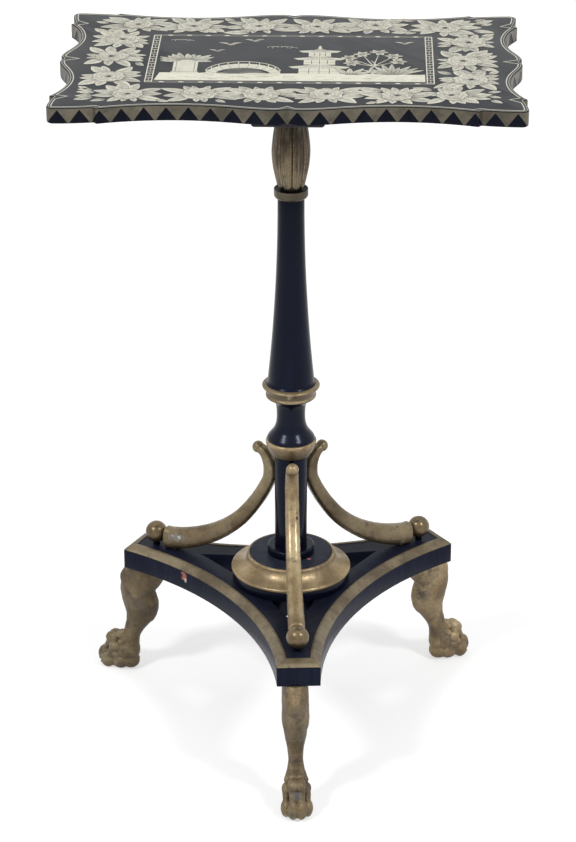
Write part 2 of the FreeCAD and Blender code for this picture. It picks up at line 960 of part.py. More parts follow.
def write(nodes):
    """Move the table's origin under the middle of its box and write one file per node."""
    os.makedirs("parts", exist_ok=True)
    everything = Part.makeCompound([solid for solids in nodes.values() for solid in solids])
    box = everything.optimalBoundingBox(False, False)
    shift = Vector(-box.Center.x, -box.Center.y, -box.ZMin)
    for name, solids in nodes.items():
        moved = [solid.translated(shift) for solid in solids]
        shape = moved[0] if len(moved) == 1 else Part.makeCompound(moved)
        shape.exportStep("parts/" + name + ".step")
    print("column axis at y = %.3f mm" % shift.y)


write(build())
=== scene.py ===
import itertools
import math
import random

import bmesh
import bpy
from mathutils import Matrix, Vector, noise

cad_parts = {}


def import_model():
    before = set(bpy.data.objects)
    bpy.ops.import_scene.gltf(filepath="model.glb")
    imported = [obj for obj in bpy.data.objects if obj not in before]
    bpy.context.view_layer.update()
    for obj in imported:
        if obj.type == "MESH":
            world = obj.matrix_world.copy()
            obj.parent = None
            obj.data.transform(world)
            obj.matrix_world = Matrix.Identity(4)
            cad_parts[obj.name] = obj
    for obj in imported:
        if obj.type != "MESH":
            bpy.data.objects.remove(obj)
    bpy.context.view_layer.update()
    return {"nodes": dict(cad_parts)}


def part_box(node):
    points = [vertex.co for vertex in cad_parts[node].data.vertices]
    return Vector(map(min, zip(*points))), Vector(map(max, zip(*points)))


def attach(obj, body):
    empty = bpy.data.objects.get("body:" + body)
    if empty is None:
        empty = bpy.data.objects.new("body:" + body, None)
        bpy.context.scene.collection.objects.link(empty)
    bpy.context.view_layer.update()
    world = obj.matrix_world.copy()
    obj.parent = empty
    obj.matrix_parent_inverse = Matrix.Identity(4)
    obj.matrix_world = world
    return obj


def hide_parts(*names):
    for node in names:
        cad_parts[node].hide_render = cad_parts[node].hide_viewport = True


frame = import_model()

# All sizes below are in millimetres about the column's foot, and are placed in metres.
MM = 0.001
nodes = frame["nodes"]
shaft_low, shaft_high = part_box("shaft")
AXIS = Vector(((shaft_low.x + shaft_high.x) / 2, (shaft_low.y + shaft_high.y) / 2, 0.0))
board_low, board_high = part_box("top_board")
TOP = board_high.z / MM
UNDER = board_low.z / MM
BASE_TURN = 3.8
CORNERS = {"front": BASE_TURN - 90, "right": BASE_TURN + 30, "left": BASE_TURN + 150}
FOOT_OFFSETS = {"front": -3.0, "right": 7.0, "left": 3.0}


def to_row(x, y, z):
    return (AXIS.x + x * MM, AXIS.y + y * MM, z * MM)


def at_corner(name, x, y, z, sideways=0.0):
    """A point given along a corner's direction, across it and up."""
    angle = math.radians(CORNERS[name])
    across = y + sideways
    return to_row(
        x * math.cos(angle) - across * math.sin(angle),
        x * math.sin(angle) + across * math.cos(angle),
        z,
    )


def heading(angle):
    return Vector((math.cos(angle), math.sin(angle)))


def left_of(run):
    return Vector((-run.y, run.x))


def pairs(chain, closed=True):
    """Each point of a chain with the next one."""
    return list(zip(chain, chain[1:] + chain[:1] if closed else chain[1:]))


def turns(count):
    """Equal steps of angle round a whole turn."""
    return [2 * math.pi * k / count for k in range(count)]


def runs(points):
    """The direction of an open path at each of its points."""
    spots = [Vector(point) for point in points]
    return [(b - a).normalized() for a, b in zip(spots[:1] + spots, spots[1:] + spots[-1:])]


def squarer(value, power):
    """A sine or cosine drawn out towards the corners of a square."""
    return math.copysign(abs(value) ** power, value)


# Materials


class Nodes:
    """A node tree with short ways to add to it."""

    def __init__(self, tree):
        self.tree = tree

    def add(self, kind, inputs=(), **properties):
        node = self.tree.nodes.new(kind)
        for key, value in properties.items():
            setattr(node, key, value)
        for key, value in dict(inputs).items():
            self.put(node.inputs[key], value)
        return node

    def put(self, socket, value):
        if isinstance(value, bpy.types.NodeSocket):
            self.tree.links.new(value, socket)
        else:
            socket.default_value = value

    def math(self, operation, a, b=0.0, clamp=False):
        return self.add("ShaderNodeMath", {0: a, 1: b}, operation=operation, use_clamp=clamp).outputs[0]

    def times(self, a, b):
        return self.math("MULTIPLY", a, b)

    def plus(self, a, b):
        return self.math("ADD", a, b)

    def vector(self, operation, a, b=(0.0, 0.0, 0.0)):
        return self.add("ShaderNodeVectorMath", {0: a, 1: b}, operation=operation).outputs

    def span(self, value, low, high, out_low=0.0, out_high=1.0, **how):
        inputs = {"Value": value, "From Min": low, "From Max": high, "To Min": out_low, "To Max": out_high}
        return self.add("ShaderNodeMapRange", inputs, clamp=True, **how).outputs[0]

    def seen(self):
        """1 for rays from the camera and from shiny or clear surfaces, 0 for the rest."""
        rays = self.add("ShaderNodeLightPath").outputs
        direct = self.plus(rays["Is Camera Ray"], rays["Is Glossy Ray"])
        return self.math("ADD", direct, rays["Is Transmission Ray"], clamp=True)


GILT_METAL = 0.36
GILT_SHINE = 0.45


class Look(Nodes):
    """A material with a Principled shader."""

    def __init__(self, name, **values):
        self.mat = bpy.data.materials.new(name)
        self.mat.use_nodes = True
        super().__init__(self.mat.node_tree)
        self.shader = self.tree.nodes["Principled BSDF"]
        for socket, value in values.items():
            self.shader.inputs[socket.replace("_", " ")].default_value = value
        self.coords = self.add("ShaderNodeTexCoord").outputs["Object"]
        self.geometry = self.add("ShaderNodeNewGeometry").outputs

    def to_shader(self, socket, value):
        self.put(self.shader.inputs[socket], value)

    def fed(self, socket):
        """What already feeds one of the shader's sockets."""
        return self.shader.inputs[socket].links[0].from_socket

    def upward(self, vector):
        return self.add("ShaderNodeSeparateXYZ", {0: vector}).outputs["Z"]

    def noise(self, scale, detail=4.0, rough=0.55, shift=0.0, stretch=(1.0, 1.0, 1.0)):
        place = {"Vector": self.coords, "Location": (shift, shift, shift), "Scale": stretch}
        vector = self.add("ShaderNodeMapping", place).outputs[0]
        inputs = {"Vector": vector, "Scale": scale, "Detail": detail, "Roughness": rough}
        return self.add("ShaderNodeTexNoise", inputs).outputs["Fac"]

    def ramp(self, value, stops):
        node = self.add("ShaderNodeValToRGB", {"Fac": value})
        band = node.color_ramp
        while len(band.elements) < len(stops):
            band.elements.new(0.5)
        for element, (place, colour) in zip(band.elements, stops):
            element.position = place
            element.color = (*colour, 1.0)
        return node.outputs["Color"]

    def mix(self, share, a, b):
        a, b = (v if isinstance(v, bpy.types.NodeSocket) else (*v, 1.0) for v in (a, b))
        return self.add("ShaderNodeMix", {0: share, 6: a, 7: b}, data_type="RGBA").outputs[2]

    def bump(self, height, strength, distance):
        inputs = {"Height": height, "Strength": strength, "Distance": distance}
        self.to_shader("Normal", self.add("ShaderNodeBump", inputs).outputs[0])

    def spotted(self, colour, spots, ragged):
        """Spots with ragged edges, each about one point of the object."""
        for centre, radius, tint in spots:
            wobble = self.times(self.math("SUBTRACT", ragged, 0.5), 2.2 * radius * MM)
            reach = self.plus(self.vector("DISTANCE", self.coords, centre)["Value"], wobble)
            colour = self.mix(self.span(reach, 0.62 * radius * MM, radius * MM, 1.0, 0.0), colour, tint)
        return colour

    def covered(self, share, colour, rest):
        """Gilding under black paint or darkened to black, which takes its metal away and leaves a rest of
        its shine.
        """
        self.to_shader("Metallic", self.span(share, 0.0, 1.0, GILT_METAL, 0.0))
        self.to_shader("Specular IOR Level", self.span(share, 0.0, 1.0, GILT_SHINE, rest))
        return self.mix(share, self.fed("Base Color"), colour)


def gilt_look(name, shift, dull=0.0, level=1.0, dense=True, spots=(), painted_shade_bands=(), dirty=0.0,
              gloss=(0.46, 0.27), metal=GILT_METAL):
    """Old gilding: brown-gold leaf, rubbed pale on high places, with dirt and painted shade in hollows, and
    painted shade on its undersides and in given bands of height.
    """
    look = Look(name, Metallic=metal, Specular_IOR_Level=GILT_SHINE)
    broad = look.noise(24.0, 3.0, 0.5, shift)
    patch = look.noise(85.0 - 38.0 * dirty, 5.0, 0.62, shift + 11.0)
    fine = look.noise(430.0, 5.0, 0.62, shift)
    speck = look.noise(950.0, 2.0, 0.5, shift)
    tone = look.plus(look.times(broad, 0.50), look.times(patch, 0.35))
    tone = look.plus(tone, look.times(fine, 0.15))

    def toned(*colour):
        return tuple(level * part for part in colour)

    gold = look.ramp(tone, [
        (0.41, toned(0.140, 0.098, 0.050)),
        (0.48, toned(0.225, 0.163, 0.085)),
        (0.54, toned(0.290, 0.220, 0.120)),
        (0.62, toned(0.380, 0.305, 0.180)),
    ])
    if dull:
        grey = look.ramp(tone, [(0.42, toned(0.130, 0.118, 0.088)), (0.60, toned(0.300, 0.275, 0.205))])
        gold = look.mix(dull, gold, grey)
    grime = look.times(look.span(patch, 0.53 - 0.05 * dirty, 0.68 - 0.07 * dirty),
                       look.span(fine, 0.36, 0.56, 0.35 + 0.2 * dirty, 0.80 + 0.1 * dirty))
    gold = look.mix(grime, gold, toned(0.075, 0.054, 0.034))
    # Painted shade: surfaces that face downward are darkened towards a dark brown.
    facing = look.upward(look.geometry["Normal"])
    gold = look.mix(look.span(facing, -0.80, 0.15, 0.75, 0.0), gold, toned(0.070, 0.050, 0.031))
    if dense:
        # Dirt and painted shade darken hollow places; rubbed pale gilding shows on sharp high places.
        point = look.geometry["Pointiness"]
        hollow = look.times(look.span(point, 0.440, 0.497, 0.85, 0.0),
                            look.span(fine, 0.30, 0.55, 0.60, 1.0))
        gold = look.mix(hollow, gold, toned(0.040, 0.029, 0.020))
        proud = look.times(look.span(point, 0.512, 0.56), look.span(fine, 0.44, 0.62))
        gold = look.mix(proud, gold, toned(0.500, 0.425, 0.285))
    gold = look.mix(look.span(speck, 0.68, 0.74, 0.0, 0.70), gold, toned(0.055, 0.040, 0.028))
    # Painted shade: the gilding is darkened between given heights.
    for low, high, amount in painted_shade_bands:
        height = look.upward(look.coords)
        band = look.times(look.span(height, (low - 0.8) * MM, (low + 0.8) * MM, 0.0, amount),
                          look.span(height, (high - 0.8) * MM, (high + 0.8) * MM, 1.0, 0.0))
        gold = look.mix(band, gold, toned(0.085, 0.060, 0.036))
    look.to_shader("Base Color", look.spotted(gold, spots, fine))
    look.to_shader("Roughness", look.span(tone, 0.40, 0.62, *gloss))
    look.bump(look.plus(fine, look.times(speck, 0.4)), 0.11, 0.0005)
    return look


def ebony_look(name, shift, ground=(0.0036, 0.0046, 0.0130), shine=0.14, spots=(), gloss=(0.14, 0.34)):
    """Blackened and polished wood with a little dust."""
    look = Look(name, Specular_IOR_Level=shine, Specular_Tint=(0.70, 0.79, 1.0, 1.0))
    broad = look.noise(20.0, 4.0, 0.6, shift)
    grain = look.noise(90.0, 5.0, 0.6, shift, stretch=(1.0, 1.0, 0.08))
    fine = look.noise(520.0, 4.0, 0.6, shift)
    lifted = tuple(2.2 * part for part in ground)
    black = look.mix(look.span(grain, 0.46, 0.72, 0.0, 0.5), ground, lifted)
    black = look.mix(look.span(fine, 0.62, 0.74, 0.0, 0.30), black, (0.028, 0.028, 0.034))
    if spots:
        black = look.spotted(black, spots, look.noise(330.0, 4.0, 0.6, shift))
    look.to_shader("Base Color", black)
    look.to_shader("Roughness", look.span(look.plus(broad, look.times(fine, 0.3)), 0.45, 0.95, *gloss))
    look.bump(look.plus(grain, look.times(fine, 0.4)), 0.06, 0.0003)
    return look


def board_look():
    """Black on the board's edge, faded to a slate grey on its upper face."""
    look = ebony_look("ebonised_board", 2.3, ground=(0.0050, 0.0055, 0.0110), shine=0.08)
    up = look.span(look.upward(look.geometry["Normal"]), 0.90, 0.99)
    cloud = look.noise(16.0, 5.0, 0.6, 3.0)
    grey = look.ramp(cloud, [(0.40, (0.048, 0.051, 0.056)), (0.62, (0.064, 0.067, 0.070))])
    look.to_shader("Base Color", look.mix(up, look.fed("Base Color"), grey))
    look.to_shader("Specular IOR Level", look.span(up, 0.0, 1.0, 0.08, 0.035))
    look.to_shader("Roughness", look.math("MAXIMUM", look.fed("Roughness"), look.times(up, 0.42)))
    return look


def ivory_look(name, pale, shaded):
    """Ivory penwork paint: shaded towards each leaf's foot, mottled by age."""
    look = Look(name, Specular_IOR_Level=0.30)
    shade = look.add("ShaderNodeAttribute", attribute_name="shade").outputs["Fac"]
    age = look.noise(60.0, 5.0, 0.6)
    fine = look.noise(700.0, 4.0, 0.6)
    hatch = look.math("ADD", look.times(shade, 0.75), look.span(fine, 0.40, 0.75, 0.0, 0.35), clamp=True)
    colour = look.mix(hatch, pale, shaded)
    colour = look.mix(look.span(age, 0.50, 0.75, 0.0, 0.35), colour, (0.40, 0.36, 0.26))
    look.to_shader("Base Color", colour)
    look.to_shader("Roughness", look.span(fine, 0.3, 0.7, 0.34, 0.52))
    look.bump(fine, 0.08, 0.0003)
    return look


def wood_look(name, dark, light, rough):
    look = Look(name, Specular_IOR_Level=0.25)
    grain = look.noise(120.0, 5.0, 0.6, stretch=(1.0, 0.12, 1.0))
    fine = look.noise(600.0, 3.0, 0.6)
    tone = look.plus(look.times(grain, 0.8), look.times(fine, 0.2))
    look.to_shader("Base Color", look.ramp(tone, [(0.38, dark), (0.62, light)]))
    look.to_shader("Roughness", look.span(fine, 0.3, 0.7, rough - 0.08, rough + 0.08))
    look.bump(tone, 0.2, 0.0005)
    return look


def steel_look(name):
    look = Look(name, Metallic=1.0)
    fine = look.noise(900.0, 4.0, 0.6)
    look.to_shader("Base Color", look.ramp(fine, [(0.40, (0.20, 0.19, 0.18)), (0.60, (0.42, 0.41, 0.40))]))
    look.to_shader("Roughness", look.span(fine, 0.3, 0.7, 0.30, 0.50))
    return look


RED_BOLE = (0.42, 0.16, 0.13)
PALE_GESSO = (0.62, 0.56, 0.50)
GREY_GESSO = (0.40, 0.37, 0.31)
DARK_CHIP = (0.030, 0.022, 0.018)

rim_gilt = gilt_look("rim_gilding", 1.7, dull=0.85, level=0.62, dense=False).mat
ebony = ebony_look("ebonised_wood", 0.0).mat
board_black = board_look().mat
ivory = ivory_look("ivory_penwork", (0.760, 0.740, 0.610), (0.250, 0.242, 0.205)).mat
ink = wood_look("pen_ink", (0.028, 0.028, 0.032), (0.060, 0.058, 0.056), 0.5).mat
grey_line = ivory_look("worn_ivory_line", (0.430, 0.420, 0.360), (0.200, 0.195, 0.170)).mat
bearer_wood = wood_look("bearer_wood", (0.008, 0.008, 0.013), (0.020, 0.019, 0.026), 0.5).mat
bare_wood = wood_look("bare_wood", (0.16, 0.10, 0.055), (0.36, 0.25, 0.15), 0.6).mat
steel = steel_look("screw_steel").mat


# Making pieces

TURNED_ANGLE = 35.0
CARVED_ANGLE = 60.0


def linked(name, data):
    obj = bpy.data.objects.new(name, data)
    bpy.context.scene.collection.objects.link(obj)
    return obj


def place(name, mesh, mat, slot, replaces=(), angle=TURNED_ANGLE):
    obj = linked(name, mesh)
    mesh.materials.clear()
    mesh.materials.append(mat)
    mesh.shade_smooth()
    mesh.set_sharp_from_angle(angle=math.radians(angle))
    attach(obj, "root")
    if replaces:
        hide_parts(*replaces)


def piece(name, verts, faces, mat, slot, replaces=(), angle=TURNED_ANGLE, shade=None):
    mesh = bpy.data.meshes.new(name)
    mesh.from_pydata(verts, [], faces)
    mesh.update()
    if shade is not None:
        layer = mesh.attributes.new("shade", "FLOAT", "POINT")
        layer.data.foreach_set("value", shade)
    place(name, mesh, mat, slot, replaces, angle)


def softened(node, mat, slot, width, angle=TURNED_ANGLE):
    """A node's own shape with its sharp edges eased by a small round."""
    source = bmesh.new()
    source.from_mesh(nodes[node].data)
    bmesh.ops.remove_doubles(source, verts=source.verts, dist=2e-6)
    bmesh.ops.dissolve_limit(source, angle_limit=math.radians(0.5), verts=source.verts, edges=source.edges)
    limit = math.radians(angle)
    sharp = [e for e in source.edges if len(e.link_faces) == 2 and e.calc_face_angle() > limit]
    bmesh.ops.bevel(source, geom=sharp, offset=width * MM, offset_type="OFFSET", segments=2, profile=0.5,
                    affect="EDGES", clamp_overlap=False)
    bmesh.ops.recalc_face_normals(source, faces=source.faces)
    mesh = bpy.data.meshes.new(node + "_finished")
    source.to_mesh(mesh)
    source.free()
    if "custom_normal" in mesh.attributes:
        mesh.attributes.remove(mesh.attributes["custom_normal"])
    place(node + "_finished", mesh, mat, slot, (node,))
    for face in mesh.polygons:
        if abs(face.normal.z) > 0.9999:
            face.use_smooth = False


def lathe_rows(rows, count):
    """Faces that join rows of points round an axis, closed at both ends."""
    faces = []
    for row in range(rows - 1):
        for k in range(count):
            a = row * count + k
            b = row * count + (k + 1) % count
            faces.append((a, b, b + count, a + count))
    faces.append(tuple(range(count - 1, -1, -1)))
    faces.append(tuple(range((rows - 1) * count, rows * count)))
    return faces


def joined(name, shells, voxel, rounds, wobble, seed):
    """Closed shells grown into one skin, smoothed, and given a hand-worked surface."""
    verts = []
    faces = []
    for shell_verts, shell_faces in shells:
        start = len(verts)
        verts.extend(shell_verts)
        faces.extend(tuple(start + i for i in face) for face in shell_faces)
    mesh = bpy.data.meshes.new(name + "_rough")
    mesh.from_pydata(verts, [], faces)
    rough = linked(name + "_rough", mesh)
    remesh = rough.modifiers.new("skin", "REMESH")
    remesh.mode = "VOXEL"
    remesh.voxel_size = voxel * MM
    smooth = rough.modifiers.new("ease", "SMOOTH")
    smooth.factor = 0.5
    smooth.iterations = rounds
    graph = bpy.context.evaluated_depsgraph_get()
    skin = bpy.data.meshes.new_from_object(rough.evaluated_get(graph))
    skin.name = name
    bpy.data.objects.remove(rough)
    offset = Vector((seed * 0.37, seed * 0.11, seed * 0.23))
    normals = [vertex.normal.copy() for vertex in skin.vertices]
    for vertex, normal in zip(skin.vertices, normals):
        place_at = vertex.co + offset
        lift = noise.noise(place_at * 140.0) + 0.5 * noise.noise(place_at * 360.0)
        vertex.co += normal * (lift * wobble * MM)
    return skin


def ball_shell(centre, radii, count=20, rows=12, tilt=None):
    """An ellipsoid as a closed shell; tilt turns it before it is placed."""
    verts = []
    for row in range(1, rows):
        lat = math.pi * row / rows
        for lon in turns(count):
            point = Vector((radii[0] * math.sin(lat) * math.cos(lon),
                            radii[1] * math.sin(lat) * math.sin(lon),
                            -radii[2] * math.cos(lat)))
            if tilt:
                point.rotate(tilt)
            verts.append(Vector(centre) + point)
    return verts, lathe_rows(rows - 1, count)


def bar_shell(points, radii, count=16):
    """A round bar along points, for toes and tendons."""
    verts = []
    for point, run, radius in zip(points, runs(points), radii):
        side = run.orthogonal().normalized()
        other = run.cross(side)
        for angle in turns(count):
            verts.append(Vector(point) + (side * math.cos(angle) + other * math.sin(angle)) * radius)
    return verts, lathe_rows(len(points), count)


def curve_through(points, steps):
    """Points on a smooth curve through the given tuples."""
    padded = [points[0], *points, points[-1]]
    result = []
    for window in zip(padded, padded[1:], padded[2:], padded[3:]):
        for step in range(steps):
            t = step / steps
            result.append(tuple(
                0.5 * (2 * b + (c - a) * t + (2 * a - 5 * b + 4 * c - d) * t * t
                       + (3 * b - a - 3 * c + d) * t ** 3)
                for a, b, c, d in zip(*window)
            ))
    result.append(tuple(points[-1]))
    return result


# Top board from the outline of its own node


def top_loop():
    mesh = nodes["top_board"].data
    ahead = set()
    for face in mesh.polygons:
        if face.normal.z > 0.99 and abs(face.center.z - board_high.z) < 1e-5:
            keys = [tuple(round(c, 6) for c in mesh.vertices[i].co[:2]) for i in face.vertices]
            for a, b in pairs(keys):
                if (b, a) in ahead:
                    ahead.remove((b, a))
                else:
                    ahead.add((a, b))
    follow = dict(ahead)
    loop = [min(follow)]
    while follow[loop[-1]] != loop[0]:
        loop.append(follow[loop[-1]])
    return [Vector(((x - AXIS.x) / MM, (y - AXIS.y) / MM)) for x, y in loop]


def finer(path, longest, closed=True):
    """A path with more points, none further apart than a given length."""
    points = []
    for a, b in pairs(path, closed):
        parts = max(1, math.ceil((b - a).length / longest))
        points.extend(a + (b - a) * (k / parts) for k in range(parts))
    return points if closed else points + [path[-1]]


def inward(points, closed=True):
    """Mitred unit normals on the left of a path."""
    sides = [left_of(b - a).normalized() for a, b in pairs(points, closed)]
    before = sides[-1:] + sides[:-1] if closed else sides[:1] + sides
    after = sides if closed else sides + sides[-1:]
    result = []
    for one, two in zip(before, after):
        both = one + two
        if both.length < 1e-6:
            both = one.copy()
        both.normalize()
        result.append(both / max(both.dot(one), 0.45))
    return result


coarse_loop = top_loop()
outline = finer(coarse_loop, 1.2)
outline_in = inward(outline)


def board_piece():
    rings = ((0.8, UNDER), (0.0, UNDER + 0.8), (0.0, TOP - 0.9), (0.28, TOP - 0.25), (0.9, TOP))
    verts = []
    for inset, level in rings:
        for point, into in zip(outline, outline_in):
            spot = point + into * inset
            verts.append(to_row(spot.x, spot.y, level))
    faces = lathe_rows(len(rings), len(outline))
    piece("top_board_finished", verts, faces, board_black, "penwork_board", ("top_board",))


board_piece()


# Sawtooth rim: gilt teeth that hang from the upper edge, black between them

TOOTH_PITCH = 21.2
TOOTH_FOOT = 0.09
RIM_THICK = 0.14
RIM_SUNK = 0.25
RIM_MARGIN = 0.75


def rim_piece():
    fine = finer(outline, 0.55)
    into = inward(fine)
    lengths = [0.0, *itertools.accumulate((b - a).length for a, b in pairs(fine))]
    whole = lengths.pop()
    teeth = round(whole / TOOTH_PITCH)
    start = min(range(len(fine)), key=lambda i: (fine[i].y > 0, abs(fine[i].x)))
    high = TOP - RIM_MARGIN
    low = UNDER + RIM_MARGIN
    apex = high - 1.2
    verts = []
    for index, (point, side) in enumerate(zip(fine, into)):
        share = ((lengths[index] - lengths[start]) / whole * teeth) % 1.0
        away = 2 * min(share, 1 - share)
        rise = min(max((away - TOOTH_FOOT) / (1 - TOOTH_FOOT), 0.0), 1.0)
        wave = 0.35 * noise.noise(Vector((point.x * 0.13, point.y * 0.13, 5.0)))
        level = low + (apex - low) * rise ** 0.92 + wave * min(1.0, 3 * rise)
        for out, z in ((RIM_SUNK, high), (-RIM_THICK, high), (-RIM_THICK, level), (RIM_SUNK, level)):
            spot = point + side * out
            verts.append(to_row(spot.x, spot.y, z))
    faces = []
    count = len(fine)
    for index in range(count):
        a = 4 * index
        b = 4 * ((index + 1) % count)
        for k in range(4):
            n = (k + 1) % 4
            faces.append((a + n, b + n, b + k, a + k))
    piece("rim_teeth", verts, faces, rim_gilt, "gilded_wood")


rim_piece()


# Penwork: flat painted shapes of next to no thickness, in layers

SLAB_FOOT = -0.04
INK_STEP = 0.008
LEAF_STEPS = 9


class Drawing:
    """Thin closed slabs collected into one mesh."""

    def __init__(self):
        self.verts = []
        self.faces = []
        self.shade = []

    def slab(self, points, shades, tops, rim, height):
        """Faces on top, the same ones below, and a wall round the rim."""
        start = len(self.verts)
        under = start + len(points)
        for level in (height, SLAB_FOOT):
            self.verts.extend(to_row(x, y, TOP + level) for x, y in points)
            self.shade.extend(shades)
        for face in tops:
            self.faces.append(tuple(start + k for k in face))
            self.faces.append(tuple(under + k for k in reversed(face)))
        for a, b in pairs(rim):
            self.faces.append((start + b, start + a, under + a, under + b))

    def grid(self, rows, height, shades):
        """A slab from equal rows of points, with a shade for each point."""
        wide = len(rows[0])
        last = wide * (len(rows) - 1)
        feet = [k for i in range(0, last, wide) for k in range(i, i + wide - 1)]
        tops = [(k, k + 1, k + wide + 1, k + wide) for k in feet]
        rim = [*range(wide), *range(2 * wide - 1, last + wide, wide)]
        rim += [*range(last + wide - 2, last - 1, -1), *range(last - wide, 0, -wide)]
        self.slab(sum(rows, []), sum(shades, []), tops, rim, height)

    def shape(self, points, height, shade=0.0):
        """A slab inside a closed chain of points."""
        area = sum(a[0] * b[1] - b[0] * a[1] for a, b in pairs(points))
        around = list(range(len(points)))
        self.slab(points if area > 0 else points[::-1], [shade] * len(points), [around], around, height)

    def ribbon(self, path, width, height, shade=0.0, closed=False, taper=False):
        points = [Vector(p) for p in path]
        sides = inward(points, closed)
        if closed:
            points.append(points[0])
            sides.append(sides[0])
        rows = []
        last = len(points) - 1
        for index, (point, side) in enumerate(zip(points, sides)):
            half = width / 2 * (1 - 0.8 * index / last if taper else 1)
            rows.append([point - side * half, point + side * half])
        self.grid(rows, height, [[shade, shade]] * len(rows))

    def finish(self, name, mat):
        piece(name, self.verts, self.faces, mat, "penwork_board", angle=25.0, shade=self.shade)


paint = Drawing()
pen = Drawing()
lines = Drawing()
dice = random.Random(41)
# Heights for the leaves in turn, so that leaves that cross lie one over another
leaf_heights = itertools.cycle([0.06 + 0.012 * (k % 23) for k in range(1, 24)])


def leaf_rows(foot, angle, length, width, bend, blunt, grow, full):
    """Points across a leaf, row by row from its foot to its tip."""
    along = heading(angle)
    across = left_of(along)
    rows = []
    for k in range(LEAF_STEPS + 1):
        t = k / LEAF_STEPS
        reach = -grow + t * (length + 2 * grow)
        half = (width / 2 + grow) * math.sin(math.pi * min(max(t, 0.02), 0.98) ** blunt) ** full
        half = max(half, 0.16)
        middle = Vector(foot) + along * reach + across * (bend * length * (t - t * t))
        rows.append([middle - across * half, middle, middle + across * half])
    return rows


def leaf(foot, angle, length, width, bend=0.0, blunt=0.85, veins=4, height=None, edge=0.40, full=0.72):
    """A painted leaf or petal with a dark pen line round it and pen veins on it."""
    level = next(leaf_heights) if height is None else height
    outer = leaf_rows(foot, angle, length, width, bend, blunt, edge, full)
    pen.grid(outer, level - INK_STEP, [[0, 0, 0]] * len(outer))
    rows = leaf_rows(foot, angle, length, width, bend, blunt, 0.0, full)
    shades = []
    tint = dice.choice((0.0, 0.06, 0.18, 0.38))
    for k in range(LEAF_STEPS + 1):
        base = max(0.0, 0.85 - 2.1 * k / LEAF_STEPS) + tint
        shades.append([0.25 + base, 0.42 + base, 0.50 * base])
    paint.grid(rows, level, shades)
    pen.ribbon([row[1] for row in rows[:-1]], 0.42, level + INK_STEP, taper=True)
    for v in range(veins):
        k = 1 + v * 6 // max(veins, 1)
        for side in (0, 2):
            start = rows[k][1]
            end = start + (rows[min(k + 2, LEAF_STEPS)][side] - start) * 0.72
            pen.ribbon([start, end], 0.22, level + INK_STEP)


def flower(centre, size, turn):
    """A full-blown flower: three rings of round petals and an eye."""
    base = 0.36
    for ring, (count, reach, wide) in enumerate(((9, 1.0, 0.80), (7, 0.72, 0.62), (5, 0.44, 0.46))):
        for k in range(count):
            angle = turn + 2 * math.pi * (k + 0.5 * ring) / count + dice.uniform(-0.1, 0.1)
            start = Vector(centre) + heading(angle) * (0.10 * size)
            length = size * reach * dice.uniform(0.9, 1.06)
            leaf(start, angle, length, size * wide * dice.uniform(0.9, 1.1), dice.uniform(-0.1, 0.1), 1.45,
                 1, base + 0.04 * ring + 0.004 * k, 0.30, 0.62)
    for k in range(6):
        angle = turn + k * math.pi / 3
        dot = Vector(centre) + heading(angle) * (0.10 * size)
        pen.shape([tuple(dot + heading(a) * 0.55) for a in (0.0, 1.05, 2.1, 3.14, 4.19, 5.24)], base + 0.14)


# Garland of leaves and flowers between the picture's frame and the edge

BAND_OUT = (203.0, -133.0, 140.0)
BAND_IN = (143.5, -84.0, 88.0)


def in_band(point, spare=0.0):
    x, y = point
    outside = abs(x) < BAND_OUT[0] - spare and BAND_OUT[1] + spare < y < BAND_OUT[2] - spare
    inside = abs(x) < BAND_IN[0] + spare and BAND_IN[1] - spare < y < BAND_IN[2] + spare
    return outside and not inside


